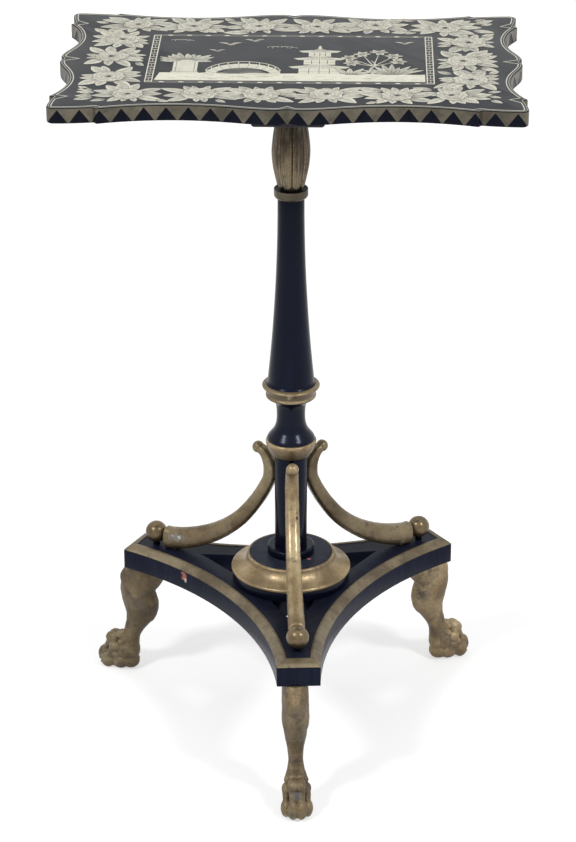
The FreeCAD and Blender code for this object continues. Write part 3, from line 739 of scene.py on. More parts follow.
def garland():
    covered = set()
    cell = 2.6

    def cells(foot, angle, length, width):
        along = heading(angle)
        across = left_of(along)
        found = set()
        for i in range(1, 10):
            t = i / 10
            half = width / 2 * math.sin(math.pi * t)
            for j in (-0.7, 0.0, 0.7):
                p = Vector(foot) + along * (t * length) + across * (j * half)
                found.add((round(p.x / cell), round(p.y / cell)))
        return found

    def try_leaf(foot, angle, length, width, most_cover):
        along = heading(angle)
        while length > 11 and not in_band(tuple(Vector(foot) + along * length)):
            length *= 0.9
        if length <= 11 or not in_band(tuple(Vector(foot) + along * (length / 2))):
            return
        width = min(width, 0.52 * length)
        own = cells(foot, angle, length, width)
        if len(own & covered) > most_cover * len(own):
            return
        covered.update(own)
        leaf(foot, angle, length, width, dice.uniform(-0.25, 0.25), dice.uniform(0.72, 0.95))

    places = []
    for y, row in ((-108, (-152, -88, -27, 36, 101, 158)), (114, (-160, -104, -38, 22, 86, 150))):
        for x in row:
            places.append((x + dice.uniform(-4, 4), y + dice.uniform(-4, 4), dice.uniform(13.5, 17.5)))
    for side in (-1, 1):
        for y in (-58, 4, 62):
            places.append((side * (174 + dice.uniform(-5, 5)), y + dice.uniform(-5, 5),
                           dice.uniform(14.5, 18.5)))
    for x, y, size in places:
        flower((x, y), size, dice.uniform(0, 1))
        for i in range(-8, 9):
            for j in range(-8, 9):
                if math.hypot(i, j) * cell < 0.92 * size:
                    covered.add((round(x / cell) + i, round(y / cell) + j))
    for x, y, size in places:
        for k in range(11):
            angle = 2 * math.pi * k / 11 + dice.uniform(-0.2, 0.2)
            foot = (x + math.cos(angle) * size * 0.72, y + math.sin(angle) * size * 0.72)
            lengthy = 26 if abs(math.cos(angle)) > 0.5 else 19
            try_leaf(foot, angle, lengthy * dice.uniform(0.85, 1.2), dice.uniform(10.5, 14.0), 0.52)
    for _ in range(1100):
        point = (dice.uniform(-200, 200), dice.uniform(-131, 138))
        if not in_band(point, 2.0) or (round(point[0] / cell), round(point[1] / cell)) in covered:
            continue
        near = min(places, key=lambda p: (p[0] - point[0]) ** 2 + (p[1] - point[1]) ** 2)
        angle = math.atan2(point[1] - near[1], point[0] - near[0])
        if abs(math.cos(angle)) < 0.6 and dice.random() < 0.7:
            angle = dice.choice((0.0, math.pi)) + dice.uniform(-0.5, 0.5)
        angle += dice.uniform(-0.45, 0.45)
        try_leaf(point, angle, dice.uniform(18, 30), dice.uniform(9.5, 13.5), 0.28)


garland()


# Frame of the picture: beaded lines above and below, ladders at the ends


def picture_frame():
    left, right, low, high = -139.5, 139.5, -72.0, 80.0
    rail = 6.6
    for x in (left, right - rail):
        for edge_x in (x, x + rail):
            paint.ribbon([(edge_x, low), (edge_x, high)], 1.05, 0.12)
        for y in (low, high):
            paint.ribbon([(x, y), (x + rail, y)], 1.0, 0.12)
        steps = 10
        pitch = (high - low) / steps
        for k in range(steps):
            y = low + k * pitch
            for step in (y + 0.20 * pitch, y + 0.80 * pitch):
                paint.ribbon([(x + 0.5, step), (x + rail - 0.5, step)], 0.95, 0.12)
            lines.ribbon([(x + rail / 2, y + 0.22 * pitch), (x + rail / 2, y + 0.78 * pitch)], 0.9, 0.10)
    for y in (low + 0.6, high - 0.6):
        for offset in (-1.7, 1.7):
            lines.ribbon([(left + rail, y + offset), (right - rail, y + offset)], 0.75, 0.10, 0.2)
        beads = 14
        for k in range(beads):
            x = left + rail + (right - left - 2 * rail) * (k + 0.5) / beads
            rows = []
            for i in range(8, -1, -1):
                half = 1.25 * math.sin(math.pi * (i + 0.4) / 8.8)
                bead_x = x - 2.8 + 0.7 * i
                rows.append([(bead_x, y - half), (bead_x, y + half)])
            paint.grid(rows, 0.12, [[0.0, 0.1]] * 9)


picture_frame()


# Picture: a made-up landscape with a planter, a bridge, a tower, reeds and birds


def arc(centre, radii, start, end, steps):
    return [(centre[0] + radii[0] * math.cos(a), centre[1] + radii[1] * math.sin(a))
            for a in (start + (end - start) * k / steps for k in range(steps + 1))]


def block(x, half, low, high, height):
    paint.shape([(x - half, low), (x + half, low), (x + half, high), (x - half, high)], height, 0.1)


def ground():
    top = [(x, -43.0 + 2.6 * noise.noise(Vector((x * 0.045, 3.0, 0.0)))) for x in range(131, -132, -6)]
    paint.shape([(-131, -66), (131, -66)] + top, 0.10, -0.10)
    for _ in range(46):
        x = -126 + 252 * dice.random()
        y = dice.uniform(-63, -48)
        pen.ribbon([(x, y), (x + dice.uniform(4, 12), y + dice.uniform(-0.8, 0.8))], 0.35, 0.112)


def tower(x, foot):
    level = foot
    for width, wall, roof in ((40, 19, 11), (31, 16, 10), (22, 14, 9)):
        half = width / 2
        block(x, half, level, level + wall, 0.14)
        for k in range(1, 4):
            px = x - half + width * k / 4
            pen.ribbon([(px, level + 1.5), (px, level + wall)], 0.6, 0.15)
        pen.ribbon([(x - half, level + 0.4 * wall), (x + half, level + 0.4 * wall)], 0.4, 0.15)
        eave = half + 8
        top = level + wall + roof
        curl = [(x - eave - 2, level + wall + 4), (x - eave + 2, level + wall - 1), (x, level + wall - 2),
                (x + eave - 2, level + wall - 1), (x + eave + 2, level + wall + 4),
                (x + 0.55 * half, top - 2.5), (x + 0.4 * half, top), (x - 0.4 * half, top),
                (x - 0.55 * half, top - 2.5)]
        paint.shape(curl, 0.17, 0.25)
        for k in range(-4, 5):
            pen.ribbon([(x + 0.09 * k * half, top - 0.8), (x + 0.235 * k * half, level + wall - 0.6)],
                       0.4, 0.18)
        level = top
    paint.ribbon([(x, level), (x, level + 13)], 1.6, 0.14, taper=True)
    for k in range(3):
        paint.shape(arc((x, level + 3 + 3.4 * k), (2.6 - 0.6 * k, 1.4), 0, 2 * math.pi, 10)[:-1], 0.16)


def bridge(x, foot, span):
    over = arc((x, foot - 4), (span / 2, 34), math.pi, 0, 22)
    under = arc((x, foot - 6), (span / 2 - 9, 23), 0, math.pi, 22)
    paint.shape(over + under, 0.15, 0.15)
    for px, py in over[2:-2:2]:
        paint.ribbon([(px, py), (px, py + 7)], 0.9, 0.14)
    paint.ribbon([(px, py + 7) for px, py in over[1:-1]], 1.1, 0.14)
    for inner, outer in list(zip(under[::-1], over))[2:-2:2]:
        pen.ribbon([inner, outer], 0.4, 0.16)
    for k in range(5):
        y = foot - 2 + 4 * k
        half = span / 2 - 12 - 3 * k
        ripple = [(x - half, y), (x - half / 3, y + 0.8), (x + half / 3, y - 0.5), (x + half, y)]
        lines.ribbon(ripple, 0.7, 0.10)


def planter(x, foot, height):
    for half, low, high in ((12.0, 0.0, height - 5), (14.0, height - 5, height), (13.5, 0.0, 4.5)):
        block(x, half, foot + low, foot + high, 0.14 + 0.001 * half)
    for px in (-9.0, 9.0):
        pen.ribbon([(x + px, foot + 5), (x + px, foot + height - 6)], 0.5, 0.17)
    for py in (4.8, height - 5.2):
        pen.ribbon([(x - 12, foot + py), (x + 12, foot + py)], 0.5, 0.17)
    for k in range(13):
        angle = math.radians(-14 + 208 * k / 12)
        leaf((x + 5 * math.cos(angle), foot + height), angle, dice.uniform(17, 25), 7.0,
             0.3 if math.cos(angle) < 0 else -0.3, 0.8, 3)


def reeds(x, foot, count, reach):
    for k in range(count):
        share = k / (count - 1)
        angle = math.radians(28 + 124 * share)
        leaf((x - 9 * (share - 0.5), foot), angle, reach * dice.uniform(0.75, 1.1), 6.0,
             0.18 * (0.5 - share), 0.8, 3)


def blossom_tree(x, foot):
    trunk = [(x, foot), (x - 3, foot + 16), (x + 2, foot + 30), (x - 2, foot + 44)]
    paint.ribbon(curve_through(trunk, 5), 3.4, 0.15, 0.25, taper=True)
    boughs = ((-24, 52), (-11, 64), (6, 70), (20, 58), (25, 42), (-21, 36))
    for dx, dy in boughs:
        path = curve_through([(x, foot + 26), (x + 0.5 * dx, foot + 26 + 0.5 * (dy - 26)),
                              (x + dx, foot + dy)], 4)
        paint.ribbon(path, 1.5, 0.14, 0.2, taper=True)
        for k in range(6):
            angle = 2 * math.pi * k / 6 + dice.uniform(-0.3, 0.3)
            leaf((x + dx, foot + dy), angle, dice.uniform(8, 11), 5.2, 0.1, 0.7, 2)


def bird(x, y, size):
    leaf((x, y), math.radians(152), size, 0.26 * size, -0.4, 0.8, 1)
    leaf((x, y), math.radians(28), size, 0.26 * size, 0.4, 0.8, 1)
    leaf((x - 0.2 * size, y - 0.12 * size), 0.15, 0.6 * size, 0.2 * size, 0.0, 0.7, 0)


def cloud(x, y, size):
    for k, (dx, dy, r) in enumerate(((0, 0, 1.0), (0.9, 0.25, 0.7), (-0.9, 0.2, 0.65), (1.7, -0.1, 0.45))):
        lines.ribbon(arc((x + dx * size, y + dy * size), (r * size, 0.55 * r * size), -0.3, 3.6, 12), 0.8,
                     0.10 + 0.004 * k)


ground()
planter(-103, -44, 43)
bridge(-46, -43, 74)
tower(28, -44)
blossom_tree(81, -44)
reeds(99, -44, 9, 30)
reeds(58, -45, 5, 22)
for bx, by, bs in ((-62, 50, 13), (-38, 62, 11), (-74, 28, 9), (112, 56, 11)):
    bird(bx, by, bs)
cloud(-12, 40, 8)
cloud(-112, 62, 6)

# Ivory line that follows the edge, drawn in to a point at each break in the outline

LINE_INSET = 4.2
LINE_BREAK = math.cos(math.radians(22))
SHORT_SIDE = 9.0
TIP_GAP = 5.0
TIPS_APART = 6.0
END_X = 190.0
END_REACH = 15.0
SIDE_REACH = 7.0


def edge_line():
    sharp = []
    count = len(coarse_loop)
    for index, point in enumerate(coarse_loop):
        one = (point - coarse_loop[index - 1]).normalized()
        two = (coarse_loop[(index + 1) % count] - point).normalized()
        if one.dot(two) < LINE_BREAK:
            sharp.append(index)
    path = []
    for here, ahead in zip(sharp, sharp[1:] + [sharp[0] + count]):
        stretch = [coarse_loop[k % count] for k in range(here, ahead + 1)]
        length = sum((b - a).length for a, b in pairs(stretch, closed=False))
        start = stretch[0]
        if length < SHORT_SIDE:
            start = (stretch[0] + stretch[-1]) / 2
        if abs(start.x) > END_X:
            tip = start - Vector((math.copysign(END_REACH, start.x), 0))
        else:
            tip = start - Vector((0, math.copysign(SIDE_REACH, start.y)))
        if length < SHORT_SIDE:
            path.append(tip)
            continue
        if not path or (path[-1] - tip).length > TIPS_APART:
            path.append(tip)
        dense = finer(stretch, 2.5, closed=False)
        sides = inward(dense, closed=False)
        run = 0.0
        for k, (point, side) in enumerate(zip(dense, sides)):
            if k:
                run += (point - dense[k - 1]).length
            if TIP_GAP < run < length - TIP_GAP:
                path.append(point + side * LINE_INSET)
    if (path[0] - path[-1]).length < TIPS_APART:
        path.pop()
    paint.ribbon(path, 1.05, 0.08, 0.25, closed=True)
    ring = [point + side * 1.7 for point, side in zip(outline, outline_in)]
    lines.ribbon(ring[::2], 0.8, 0.06, 0.3, closed=True)


edge_line()
paint.finish("penwork_ivory", ivory)
pen.finish("penwork_ink", ink)
lines.finish("penwork_fine_lines", grey_line)


# Carved bud under the top: petals with round tips at the foot, closing upward

PETALS = 9
PETAL_TURN = math.radians(-90 + 5)
BUD_CORE = 10.6
BUD_ROWS = ((0.00, 13.0), (0.05, 13.8), (0.13, 15.9), (0.24, 18.0), (0.37, 18.9), (0.52, 17.6),
            (0.68, 15.2), (0.85, 13.0), (1.0, 12.0))


def capital_piece():
    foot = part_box("neck_ring")[1].z / MM - 0.4
    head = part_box("top_bearer")[0].z / MM
    profile = curve_through(BUD_ROWS, 12)
    levels = [0.35 * k for k in range(24)]
    levels += [8.4 + (head - foot - 8.4) * k / 44 for k in range(1, 45)]
    count = 26 * PETALS
    verts = []
    for rise in levels:
        share = rise / (head - foot)
        after = next((k for k, row in enumerate(profile) if row[0] >= share), len(profile) - 1)
        low, high = profile[max(after - 1, 0)], profile[after]
        part = 0.0 if high[0] == low[0] else (share - low[0]) / (high[0] - low[0])
        body = low[1] + (high[1] - low[1]) * min(max(part, 0.0), 1.0)
        for angle in turns(count):
            u = abs(2 * (((angle - PETAL_TURN) * PETALS / (2 * math.pi)) % 1.0) - 1)
            petal = body + 0.50 * (1 - u * u) - 1.15 * u ** 9
            petal += 0.22 * math.cos(5 * math.pi * u) * (1 - 0.7 * share)
            petal += 0.25 * noise.noise(Vector((math.cos(angle) * 7, math.sin(angle) * 7, rise * 0.03)))
            tip = 1.9 + 3.6 * u ** 2.4
            ease = min(max((rise - tip) / 1.6, 0.0), 1.0)
            r = BUD_CORE + (petal - BUD_CORE) * math.sqrt(1 - (1 - ease) ** 2)
            verts.append(to_row(r * math.cos(angle), r * math.sin(angle), foot + rise))
    faces = lathe_rows(len(levels), count)
    piece("capital_carved", verts, faces, bud_gilt, "gilded_wood", ("capital",), CARVED_ANGLE)


def bud_material():
    """The bud's gilding, blackened towards the top and with painted shade near black deep in the flutes."""
    look = gilt_look("bud_gilding", 5.3, level=1.08)
    streak = look.noise(150.0, 4.0, 0.6, 2.0, stretch=(1.0, 1.0, 0.10))
    # Towards its top the bud is darkened almost to black, along a ragged edge.
    top_darkening = look.plus(look.upward(look.coords), look.times(look.math("SUBTRACT", streak, 0.5), 0.12))
    colour = look.covered(look.span(top_darkening, 0.626, 0.676, 0.0, 0.96), (0.018, 0.015, 0.014), 0.09)
    colour = look.mix(look.span(streak, 0.54, 0.66, 0.0, 0.75), colour, (0.050, 0.036, 0.026))
    # Painted shade: near black where the surface lies close to the bud's core, in the flutes and under the
    # petals' tips.
    flat = look.vector("MULTIPLY", look.coords, (1.0, 1.0, 0.0))[0]
    away = look.vector("DISTANCE", flat, (AXIS.x, AXIS.y, 0.0))["Value"]
    colour = look.mix(look.span(away, 11.0 * MM, 12.2 * MM, 0.8, 0.0), colour, (0.010, 0.009, 0.010))
    look.to_shader("Base Color", colour)
    return look.mat


def neck_material():
    """Gilding on the ring's side and black paint on its upper face."""
    look = gilt_look("neck_ring_gilding", 6.1, dull=0.2, level=0.47, dense=False)
    up = look.span(look.upward(look.geometry["Normal"]), 0.75, 0.92)
    look.to_shader("Base Color", look.covered(up, (0.012, 0.011, 0.013), 0.04))
    return look.mat


bud_gilt = bud_material()
capital_piece()

# Turned and sawn pieces that keep their own shape

softened("neck_ring", neck_material(), "gilded_wood", 0.4)
# The cup's gilding has painted shade in a band of height under its rim.
cup_gilt = gilt_look("cup_gilding", 2.2, level=1.42, dense=False, painted_shade_bands=((300.0, 316.5, 0.45),)).mat
softened("cup_ring", cup_gilt, "gilded_wood", 0.4)
# The boss moulding's gilding has painted shade in a narrow band of height near its top.
boss_gilt = gilt_look("boss_gilding", 2.9, level=1.50, dense=False, painted_shade_bands=((184.8, 187.2, 0.45),)).mat
softened("boss_moulding", boss_gilt, "gilded_wood", 0.4)
for node in ("shaft", "lower_column", "step_ring", "boss_drum"):
    softened(node, ebony, "ebonised_wood", 0.5)
cap_black = ebony_look("boss_cap_black", 5.5, ground=(0.0220, 0.0260, 0.0430), spots=(
    (to_row(19.6, -18.6, 189.5), 2.6, (0.36, 0.15, 0.15)),
), gloss=(0.42, 0.60)).mat
softened("boss_cap", cap_black, "ebonised_wood", 0.5)
BAND_CHIPS = (
    (to_row(-114.4, 15.1, 150.0), 5.2, RED_BOLE),
    (to_row(-113.3, 14.1, 145.6), 2.6, PALE_GESSO),
)
platform_black = ebony_look("platform_black", 4.4, ground=(0.0106, 0.0130, 0.0262), shine=0.075,
                            gloss=(0.24, 0.40), spots=BAND_CHIPS).mat
softened("platform", platform_black, "ebonised_wood", 0.5)

KNOP_CURVE = ((24.6, 321.2), (24.9, 322.0), (24.4, 323.6), (23.3, 325.4), (21.9, 327.2), (20.5, 329.0),
              (19.1, 330.8), (17.9, 332.7), (16.9, 334.9), (16.0, 337.4), (15.3, 340.5), (14.9, 344.5),
              (14.8, 349.0), (15.0, 354.5), (15.6, 359.0), (16.7, 362.4), (18.7, 365.2), (21.2, 367.2),
              (23.0, 368.5), (23.7, 369.3))
COLLAR_CURVE = ((23.7, 369.0), (25.2, 369.2), (26.0, 370.0), (26.2, 370.9), (26.0, 371.8), (25.4, 372.4),
                (25.2, 373.1), (25.5, 374.6), (26.1, 376.6), (26.9, 378.4), (27.6, 379.5), (28.6, 379.8),
                (29.5, 380.5), (29.8, 381.6), (29.5, 382.7), (28.5, 383.5), (27.3, 383.9), (26.4, 384.0))


def turned_piece(name, curve, inner, mat, slot, replaces):
    """A turned piece from the curve of its side; its ends lie hidden in its neighbours."""
    side = curve_through(curve, 5)
    rows = [(inner, side[0][1])] + side + [(inner, side[-1][1])]
    count = 112
    verts = [to_row(r * math.cos(a), r * math.sin(a), z) for r, z in rows for a in turns(count)]
    piece(name, verts, lathe_rows(len(rows), count), mat, slot, (replaces,), 40.0)


def collar_material():
    """Gilding with painted shade in the hollow between its rings and black under the lower one."""
    look = gilt_look("collar_gilding", 8.4, painted_shade_bands=((373.4, 378.4, 0.75),),
                     spots=((to_row(-1.0, -28.6, 378.5), 4.5, (0.46, 0.40, 0.28)),))
    under = look.span(look.upward(look.coords), 370.0 * MM, 370.7 * MM, 1.0, 0.0)
    look.to_shader("Base Color", look.covered(under, (0.0040, 0.0050, 0.0110), 0.13))
    return look.mat


collar_gilt = collar_material()
knop_black = ebony_look("knop_black", 1.2, ground=(0.0022, 0.0030, 0.0100), shine=0.21,
                        gloss=(0.19, 0.27)).mat
turned_piece("knop_turned", KNOP_CURVE, 9.0, knop_black, "ebonised_wood", "knop")
turned_piece("collar_turned", COLLAR_CURVE, 9.0, collar_gilt, "gilded_wood", "collar_ring")
softened("top_bearer", bearer_wood, "ebonised_wood", 0.6)


def band_material(name, level):
    """The bands' gilding, with black paint on the outer edge that is rounded into the side."""
    look = gilt_look(name, 7.7, dull=0.25, level=level, dense=False)
    normal = look.geometry["True Normal"]
    away = look.vector("SUBTRACT", look.coords, tuple(AXIS))[0]
    flat = look.vector("MULTIPLY", away, (1.0, 1.0, 0.0))[0]
    out = look.vector("DOT_PRODUCT", flat, normal)["Value"]
    edge = look.times(look.span(look.upward(normal), 0.30, 0.50, 1.0, 0.0), look.span(out, 0.004, 0.014))
    colour = look.covered(edge, (0.0045, 0.0055, 0.0130), 0.15)
    look.to_shader("Base Color", look.spotted(colour, BAND_CHIPS, look.noise(330.0, 4.0, 0.6, 4.4)))
    return look.mat


band_gilt = band_material("band_gilding", 0.78)
rubbed_gilt = band_material("rubbed_band_gilding", 0.56)
for name, mat in (("front", band_gilt), ("right", rubbed_gilt), ("left", rubbed_gilt)):
    softened("corner_band_" + name, mat, "gilded_wood", 0.4, angle=28.0)
for name in ("right", "back", "left"):
    softened("side_band_" + name, band_gilt, "gilded_wood", 0.4, angle=28.0)
for node, mat in (("bearer_screws", steel), ("capital_wedge", bare_wood), ("column_wedge", bare_wood),
                  ("bracket_pins", bare_wood), ("bracket_dowels", bare_wood), ("ball_pegs", ebony),
                  ("foot_dowels", bare_wood)):
    mesh = nodes[node].data
    mesh.materials.clear()
    mesh.materials.append(mat)


# Scroll brackets: flat-sided scrolls with a rounded back and a knob at the tip

BRACKET_PATH = (
    (152.2, 172.0, 24.0, 17.5), (142.3, 172.4, 23.6, 17.4), (122.4, 177.2, 22.4, 17.0),
    (100.9, 186.0, 20.8, 16.5), (81.2, 197.8, 19.0, 15.9), (61.3, 214.5, 17.2, 15.3),
    (45.3, 234.2, 15.7, 14.7), (33.4, 252.9, 14.8, 14.5), (25.8, 268.4, 14.3, 14.4),
    (24.25, 275.7, 14.2, 14.4), (25.0, 285.4, 13.0, 13.8), (27.9, 293.6, 11.6, 13.2),
    (31.8, 299.0, 10.4, 12.4), (35.6, 301.6, 9.6, 11.8),
)
LEVEL_ROWS = 3
KNOB = (38.6, 302.8, 6.4)
BALL = (164.15, 0.0, 174.8)
BALL_RADIUS = 11.7


def bracket_shells():
    path = curve_through(BRACKET_PATH, 5)
    directions = runs([row[:2] for row in path])
    directions[:LEVEL_ROWS] = [Vector((-1.0, 0.0))] * LEVEL_ROWS
    rows = [(Vector((r, z)), run, depth, width) for (r, z, depth, width), run in zip(path, directions)]
    middle, run, depth, width = rows[0]
    eased = [(middle + run * back, run, depth * scale, width * scale)
             for back, scale in ((0.0, 0.86), (0.7, 0.95), (2.0, 1.0))]
    rows = eased + rows[1:]
    count = 28
    verts = []
    for middle, run, depth, width in rows:
        out = -left_of(run)
        for angle in turns(count):
            s = math.sin(angle)
            across = width / 2 * squarer(math.cos(angle), 0.66)
            spot = middle + out * (depth / 2 * squarer(s, 0.70 if s < 0 else 0.90))
            verts.append(Vector((spot.x, across, spot.y)))
    shells = [(verts, lathe_rows(len(rows), count))]
    shells.append(ball_shell((KNOB[0], 0.0, KNOB[1]), (KNOB[2], KNOB[2] * 1.04, KNOB[2])))
    return shells


def cornered(shells, name, sideways=0.0):
    return [([Vector(at_corner(name, v.x, v.y, v.z, sideways)) for v in verts], faces)
            for verts, faces in shells]


ball_gilt = gilt_look("ball_gilding", 4.9, level=0.78, gloss=(0.34, 0.23), metal=0.58).mat
# Each corner's copy of the bracket gilding is made lighter or darker as painted light and shade.
BRACKET_PAINTED_LIGHT = {"front": 1.50, "right": 0.74, "left": 0.83}
BRACKET_SPOTS = {
    "front": ((42.0, 4.4, 254.5, 1.8, DARK_CHIP), (42.6, 4.2, 248.5, 2.4, DARK_CHIP)),
    "right": ((127.0, -8.0, 189.5, 3.4, GREY_GESSO), (118.0, -8.0, 190.5, 2.8, GREY_GESSO),
              (138.0, -8.0, 166.0, 3.0, (0.30, 0.26, 0.20))),
    "left": ((141.3, 8.6, 176.7, 5.2, (0.20, 0.18, 0.145)), (134.9, 8.5, 177.0, 5.4, (0.23, 0.21, 0.17)),
             (128.2, 8.5, 178.6, 5.0, (0.19, 0.17, 0.135)), (131.3, 8.6, 178.4, 2.3, (0.52, 0.50, 0.45)),
             (139.5, 8.6, 178.8, 2.0, (0.36, 0.34, 0.29))),
}


def spots_at(name, rows, sideways=0.0):
    """Spots of wear from their places along, across and up at a corner, their sizes and colours."""
    return [(at_corner(name, x, y, z, sideways), size, tint) for x, y, z, size, tint in rows]


for number, name in enumerate(CORNERS):
    look = gilt_look("bracket_gilding_" + name, 9.0 + number, level=BRACKET_PAINTED_LIGHT[name],
                     spots=spots_at(name, BRACKET_SPOTS[name]))
    skin = joined("bracket_carved_" + name, cornered(bracket_shells(), name), 0.8, 3, 0.16, 3 + number)
    place("bracket_carved_" + name, skin, look.mat, "gilded_wood", ("bracket_" + name,), CARVED_ANGLE)
    shells = cornered([ball_shell(BALL, [BALL_RADIUS] * 3, 40, 26)], name)
    skin = joined("ball_turned_" + name, shells, 0.7, 2, 0.14, 13 + number)
    place("ball_turned_" + name, skin, ball_gilt, "gilded_wood", ("ball_" + name,), CARVED_ANGLE)


# Paw feet: a leg with a knee, tendons, knuckled toes and claws

PLATFORM_FOOT = 134.0
FOOT_ROWS = (
    (PLATFORM_FOOT, 151.0, 195.4, 12.8), (128.0, 152.4, 199.6, 13.2), (119.0, 155.6, 204.0, 13.7),
    (110.0, 160.4, 206.8, 13.8), (101.0, 166.8, 207.6, 13.7), (94.0, 165.0, 207.2, 13.4),
    (86.5, 162.8, 205.6, 12.8), (78.0, 163.8, 203.4, 11.8), (69.0, 167.8, 201.4, 10.2),
    (60.0, 174.6, 200.9, 8.4), (53.0, 180.0, 201.6, 7.7),
    (46.9, 184.2, 203.5, 7.8), (38.9, 187.6, 209.5, 9.4), (29.5, 188.6, 216.0, 10.6),
    (17.4, 191.0, 219.0, 10.6), (9.0, 194.0, 217.0, 9.4), (5.0, 197.0, 214.0, 7.4),
)
# Each corner's copy of the foot gilding is made lighter or darker as painted light and shade.
FOOT_PAINTED_LIGHT = {"front": 0.84, "right": 1.56, "left": 0.74}
GRIME = (0.115, 0.088, 0.060)
FOOT_SPOTS = {
    "front": ((206.0, 0.0, 112.0, 9.0, (0.170, 0.128, 0.080)), (206.0, -1.0, 108.0, 4.5, GRIME),
              (203.0, -1.0, 56.0, 6.0, (0.150, 0.114, 0.074)),
              (202.0, 0.0, 53.0, 3.4, (0.070, 0.052, 0.040)),
              (226.0, 0.0, 26.0, 6.0, (0.150, 0.135, 0.125))),
    "right": ((171.0, -8.0, 89.0, 11.0, (0.270, 0.205, 0.125)),
              (170.0, -9.0, 90.0, 7.5, (0.185, 0.140, 0.090)), (169.0, -9.0, 91.0, 4.5, GRIME)),
    "left": ((180.6, 11.7, 90.0, 8.5, GRIME), (190.0, 13.0, 122.0, 5.5, GRIME)),
}
TOES = ((-10.4, 4.0, 5.0, 7.0), (-3.9, -2.0, 5.6, 0.0), (3.9, -2.4, 5.6, 0.0), (10.4, 3.6, 5.0, 7.0))
PADS = (((213.0, 0.0, 28.0), (9.0, 9.0, 10.0)), ((199.5, 0.0, 10.4), (11.4, 10.4, 10.2)),
        ((196.0, 0.0, 24.0), (8.2, 9.6, 15.0)))
SIDE_PADS = (((209.0, 6.6, 9.6), (11.0, 7.2, 9.4)), ((204.0, 6.8, 24.0), (10.0, 5.8, 12.0)),
             ((213.0, 8.6, 18.0), (8.0, 5.4, 9.0)))
TENDONS = (
    (((196.0, 6.2, 80.0), (197.6, 5.0, 62.0), (201.8, 4.8, 47.0), (210.0, 5.6, 38.0)),
     (2.6, 2.2, 2.2, 2.6)),
    (((180.0, 7.4, 82.0), (180.5, 6.9, 71.0), (185.0, 5.6, 58.0)), (3.4, 2.8, 1.8)),
)
MUSCLES = (((190.0, 0.0, 112.0), (18.4, 13.0, 18.0), 0.0), ((165.5, 0.0, 122.0), (4.8, 8.6, 9.0), 0.25),
           ((173.0, 0.0, 77.0), (9.0, 8.6, 15.0), -0.25))


def foot_shells():
    rows = curve_through(FOOT_ROWS, 4)
    count = 36
    verts = []
    for z, inner, outer, half in rows:
        for angle in turns(count):
            x = (inner + outer) / 2 + (outer - inner) / 2 * squarer(math.cos(angle), 0.88)
            verts.append(Vector((x, half * squarer(math.sin(angle), 0.88), z)))
    shells = [(list(reversed(verts)), lathe_rows(len(rows), count))]
    for across, back, size, drop in TOES:
        share = size / 5.6
        line = ((200.0 - 0.6 * back, 0.60 * across, 42.0 - 0.4 * drop),
                (210.0 - back, 0.85 * across, 38.0 - 0.8 * drop), (218.0 - back, across, 33.0 - drop),
                (223.5 - back, 1.03 * across, 22.0 - 0.6 * drop), (226.0 - back, 1.03 * across, 12.0))
        shells.append(bar_shell(line, [3.8 * share, 4.6 * share, 4.8 * share, 4.0 * share, 4.6 * share]))
        shells.append(ball_shell((216.5 - back, 0.94 * across, 34.0 - drop),
                                 (8.6 * share, 6.1 * share, 7.2 * share)))
        tall = 11.4 - 0.25 * drop
        shells.append(ball_shell((225.6 - back, 1.04 * across, tall), (9.2 * share, 6.4 * share, tall)))
        claw = ((231.0 - back, 1.04 * across, 6.6), (233.6 - back, 1.04 * across, 4.4))
        shells.append(bar_shell(claw, [2.8, 2.0], 10))
    shells.extend(ball_shell(centre, radii) for centre, radii in PADS)
    for side in (-1, 1):
        shells.extend(ball_shell((x, side * y, z), radii) for (x, y, z), radii in SIDE_PADS)
    for side in (-1, 1):
        for line, radii in TENDONS:
            shells.append(bar_shell([(x, side * y, z) for x, y, z in line], radii, 12))
        shells.append(ball_shell((188.0, side * 9.6, 98.0), (14.0, 4.6, 17.0)))
    for centre, radii, lean in MUSCLES:
        shells.append(ball_shell(centre, radii, tilt=Matrix.Rotation(lean, 3, "Y")))
    return shells


for number, name in enumerate(CORNERS):
    shells = cornered(foot_shells(), name, FOOT_OFFSETS[name])
    skin = joined("foot_carved_" + name, shells, 0.85, 3, 0.34, 21 + number)
    for vertex in skin.vertices:
        vertex.co.z = min(max(vertex.co.z, 0.0), PLATFORM_FOOT * MM)
    look = gilt_look("foot_gilding_" + name, 3.1 + number, level=FOOT_PAINTED_LIGHT[name], dirty=1.0,
                     spots=spots_at(name, FOOT_SPOTS[name], FOOT_OFFSETS[name]), gloss=(0.58, 0.42))
    place("foot_carved_" + name, skin, look.mat, "gilded_wood", ("foot_" + name,), CARVED_ANGLE)


# Stage, light and camera

WHITE = (1.0, 1.0, 1.0, 1.0)
FLOOR_GREY = (0.62, 0.62, 0.62, 1.0)


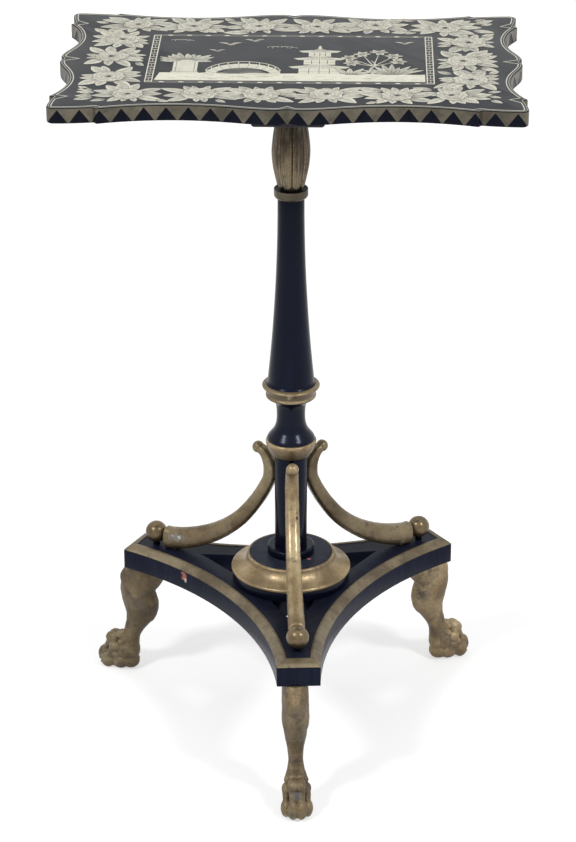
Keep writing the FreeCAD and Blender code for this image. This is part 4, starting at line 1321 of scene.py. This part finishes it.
def floor():
    """A plain floor whose glow, where it is seen, is weaker near the table, a painted shade round it, and
    paler far from the table so that it meets the background unseen.
    """
    mesh = bpy.data.meshes.new("floor")
    mesh.from_pydata([(-6, -6, 0), (6, -6, 0), (6, 6, 0), (-6, 6, 0)], [], [(0, 1, 2, 3)])
    mat = bpy.data.materials.new("pale_floor")
    mat.use_nodes = True
    mat.node_tree.nodes.clear()
    made = Nodes(mat.node_tree)
    away = made.vector("LENGTH", made.add("ShaderNodeTexCoord").outputs["Object"])["Value"]
    # Painted shade: the floor's glow rises from near the table outwards.
    rise = made.span(away, 0.9, 3.6, 0.60, 0.86, interpolation_type="SMOOTHSTEP")
    glow = made.add("ShaderNodeEmission", {"Color": WHITE, "Strength": made.times(made.seen(), rise)})
    matt = made.add("ShaderNodeBsdfDiffuse", {"Color": FLOOR_GREY})
    both = made.add("ShaderNodeAddShader", {0: matt.outputs[0], 1: glow.outputs[0]})
    made.add("ShaderNodeOutputMaterial", {"Surface": both.outputs[0]})
    mesh.materials.append(mat)
    linked("floor", mesh)


def world():
    """White where it is seen, and a low even light otherwise."""
    sky = bpy.data.worlds.new("studio")
    bpy.context.scene.world = sky
    sky.use_nodes = True
    sky.node_tree.nodes.clear()
    made = Nodes(sky.node_tree)
    level = made.span(made.seen(), 0.0, 1.0, 0.32, 1.0)
    back = made.add("ShaderNodeBackground", {"Color": WHITE, "Strength": level})
    made.add("ShaderNodeOutputWorld", {"Surface": back.outputs[0]})


def lamp(name, spot, aim, size, power):
    data = bpy.data.lights.new(name, "AREA")
    data.shape = "RECTANGLE"
    data.size = size[0]
    data.size_y = size[1]
    data.energy = power
    obj = linked(name, data)
    obj.location = spot
    obj.rotation_euler = (Vector(aim) - Vector(spot)).to_track_quat("-Z", "Y").to_euler()


floor()
world()
lamp("key_left", (-2.0, -1.9, 3.0), (0.0, 0.0, 0.4), (0.56, 0.56), 56.0)
lamp("key_right", (2.1, -1.8, 3.0), (0.0, 0.0, 0.4), (0.56, 0.56), 50.0)
lamp("over", (0.0, 0.4, 3.2), (0.0, 0.0, 0.3), (2.6, 2.2), 16.0)

PHOTO_HEIGHT = 842
SENSOR = 36.0
FOCAL_PX = 3030.3
PITCH = math.radians(24.398)
PAN = math.radians(-1.487)
EYE = (71.2, -2860.6, 1638.1)

view = bpy.data.cameras.new("photo_view")
view.sensor_width = SENSOR
view.lens = FOCAL_PX * SENSOR / PHOTO_HEIGHT
camera = linked("photo_view", view)
camera.location = to_row(*EYE)
ahead = Vector((math.sin(PAN) * math.cos(PITCH), math.cos(PAN) * math.cos(PITCH), -math.sin(PITCH)))
camera.rotation_euler = ahead.to_track_quat("-Z", "Y").to_euler()
bpy.context.scene.camera = camera
bpy.context.scene.view_settings.view_transform = "Standard"
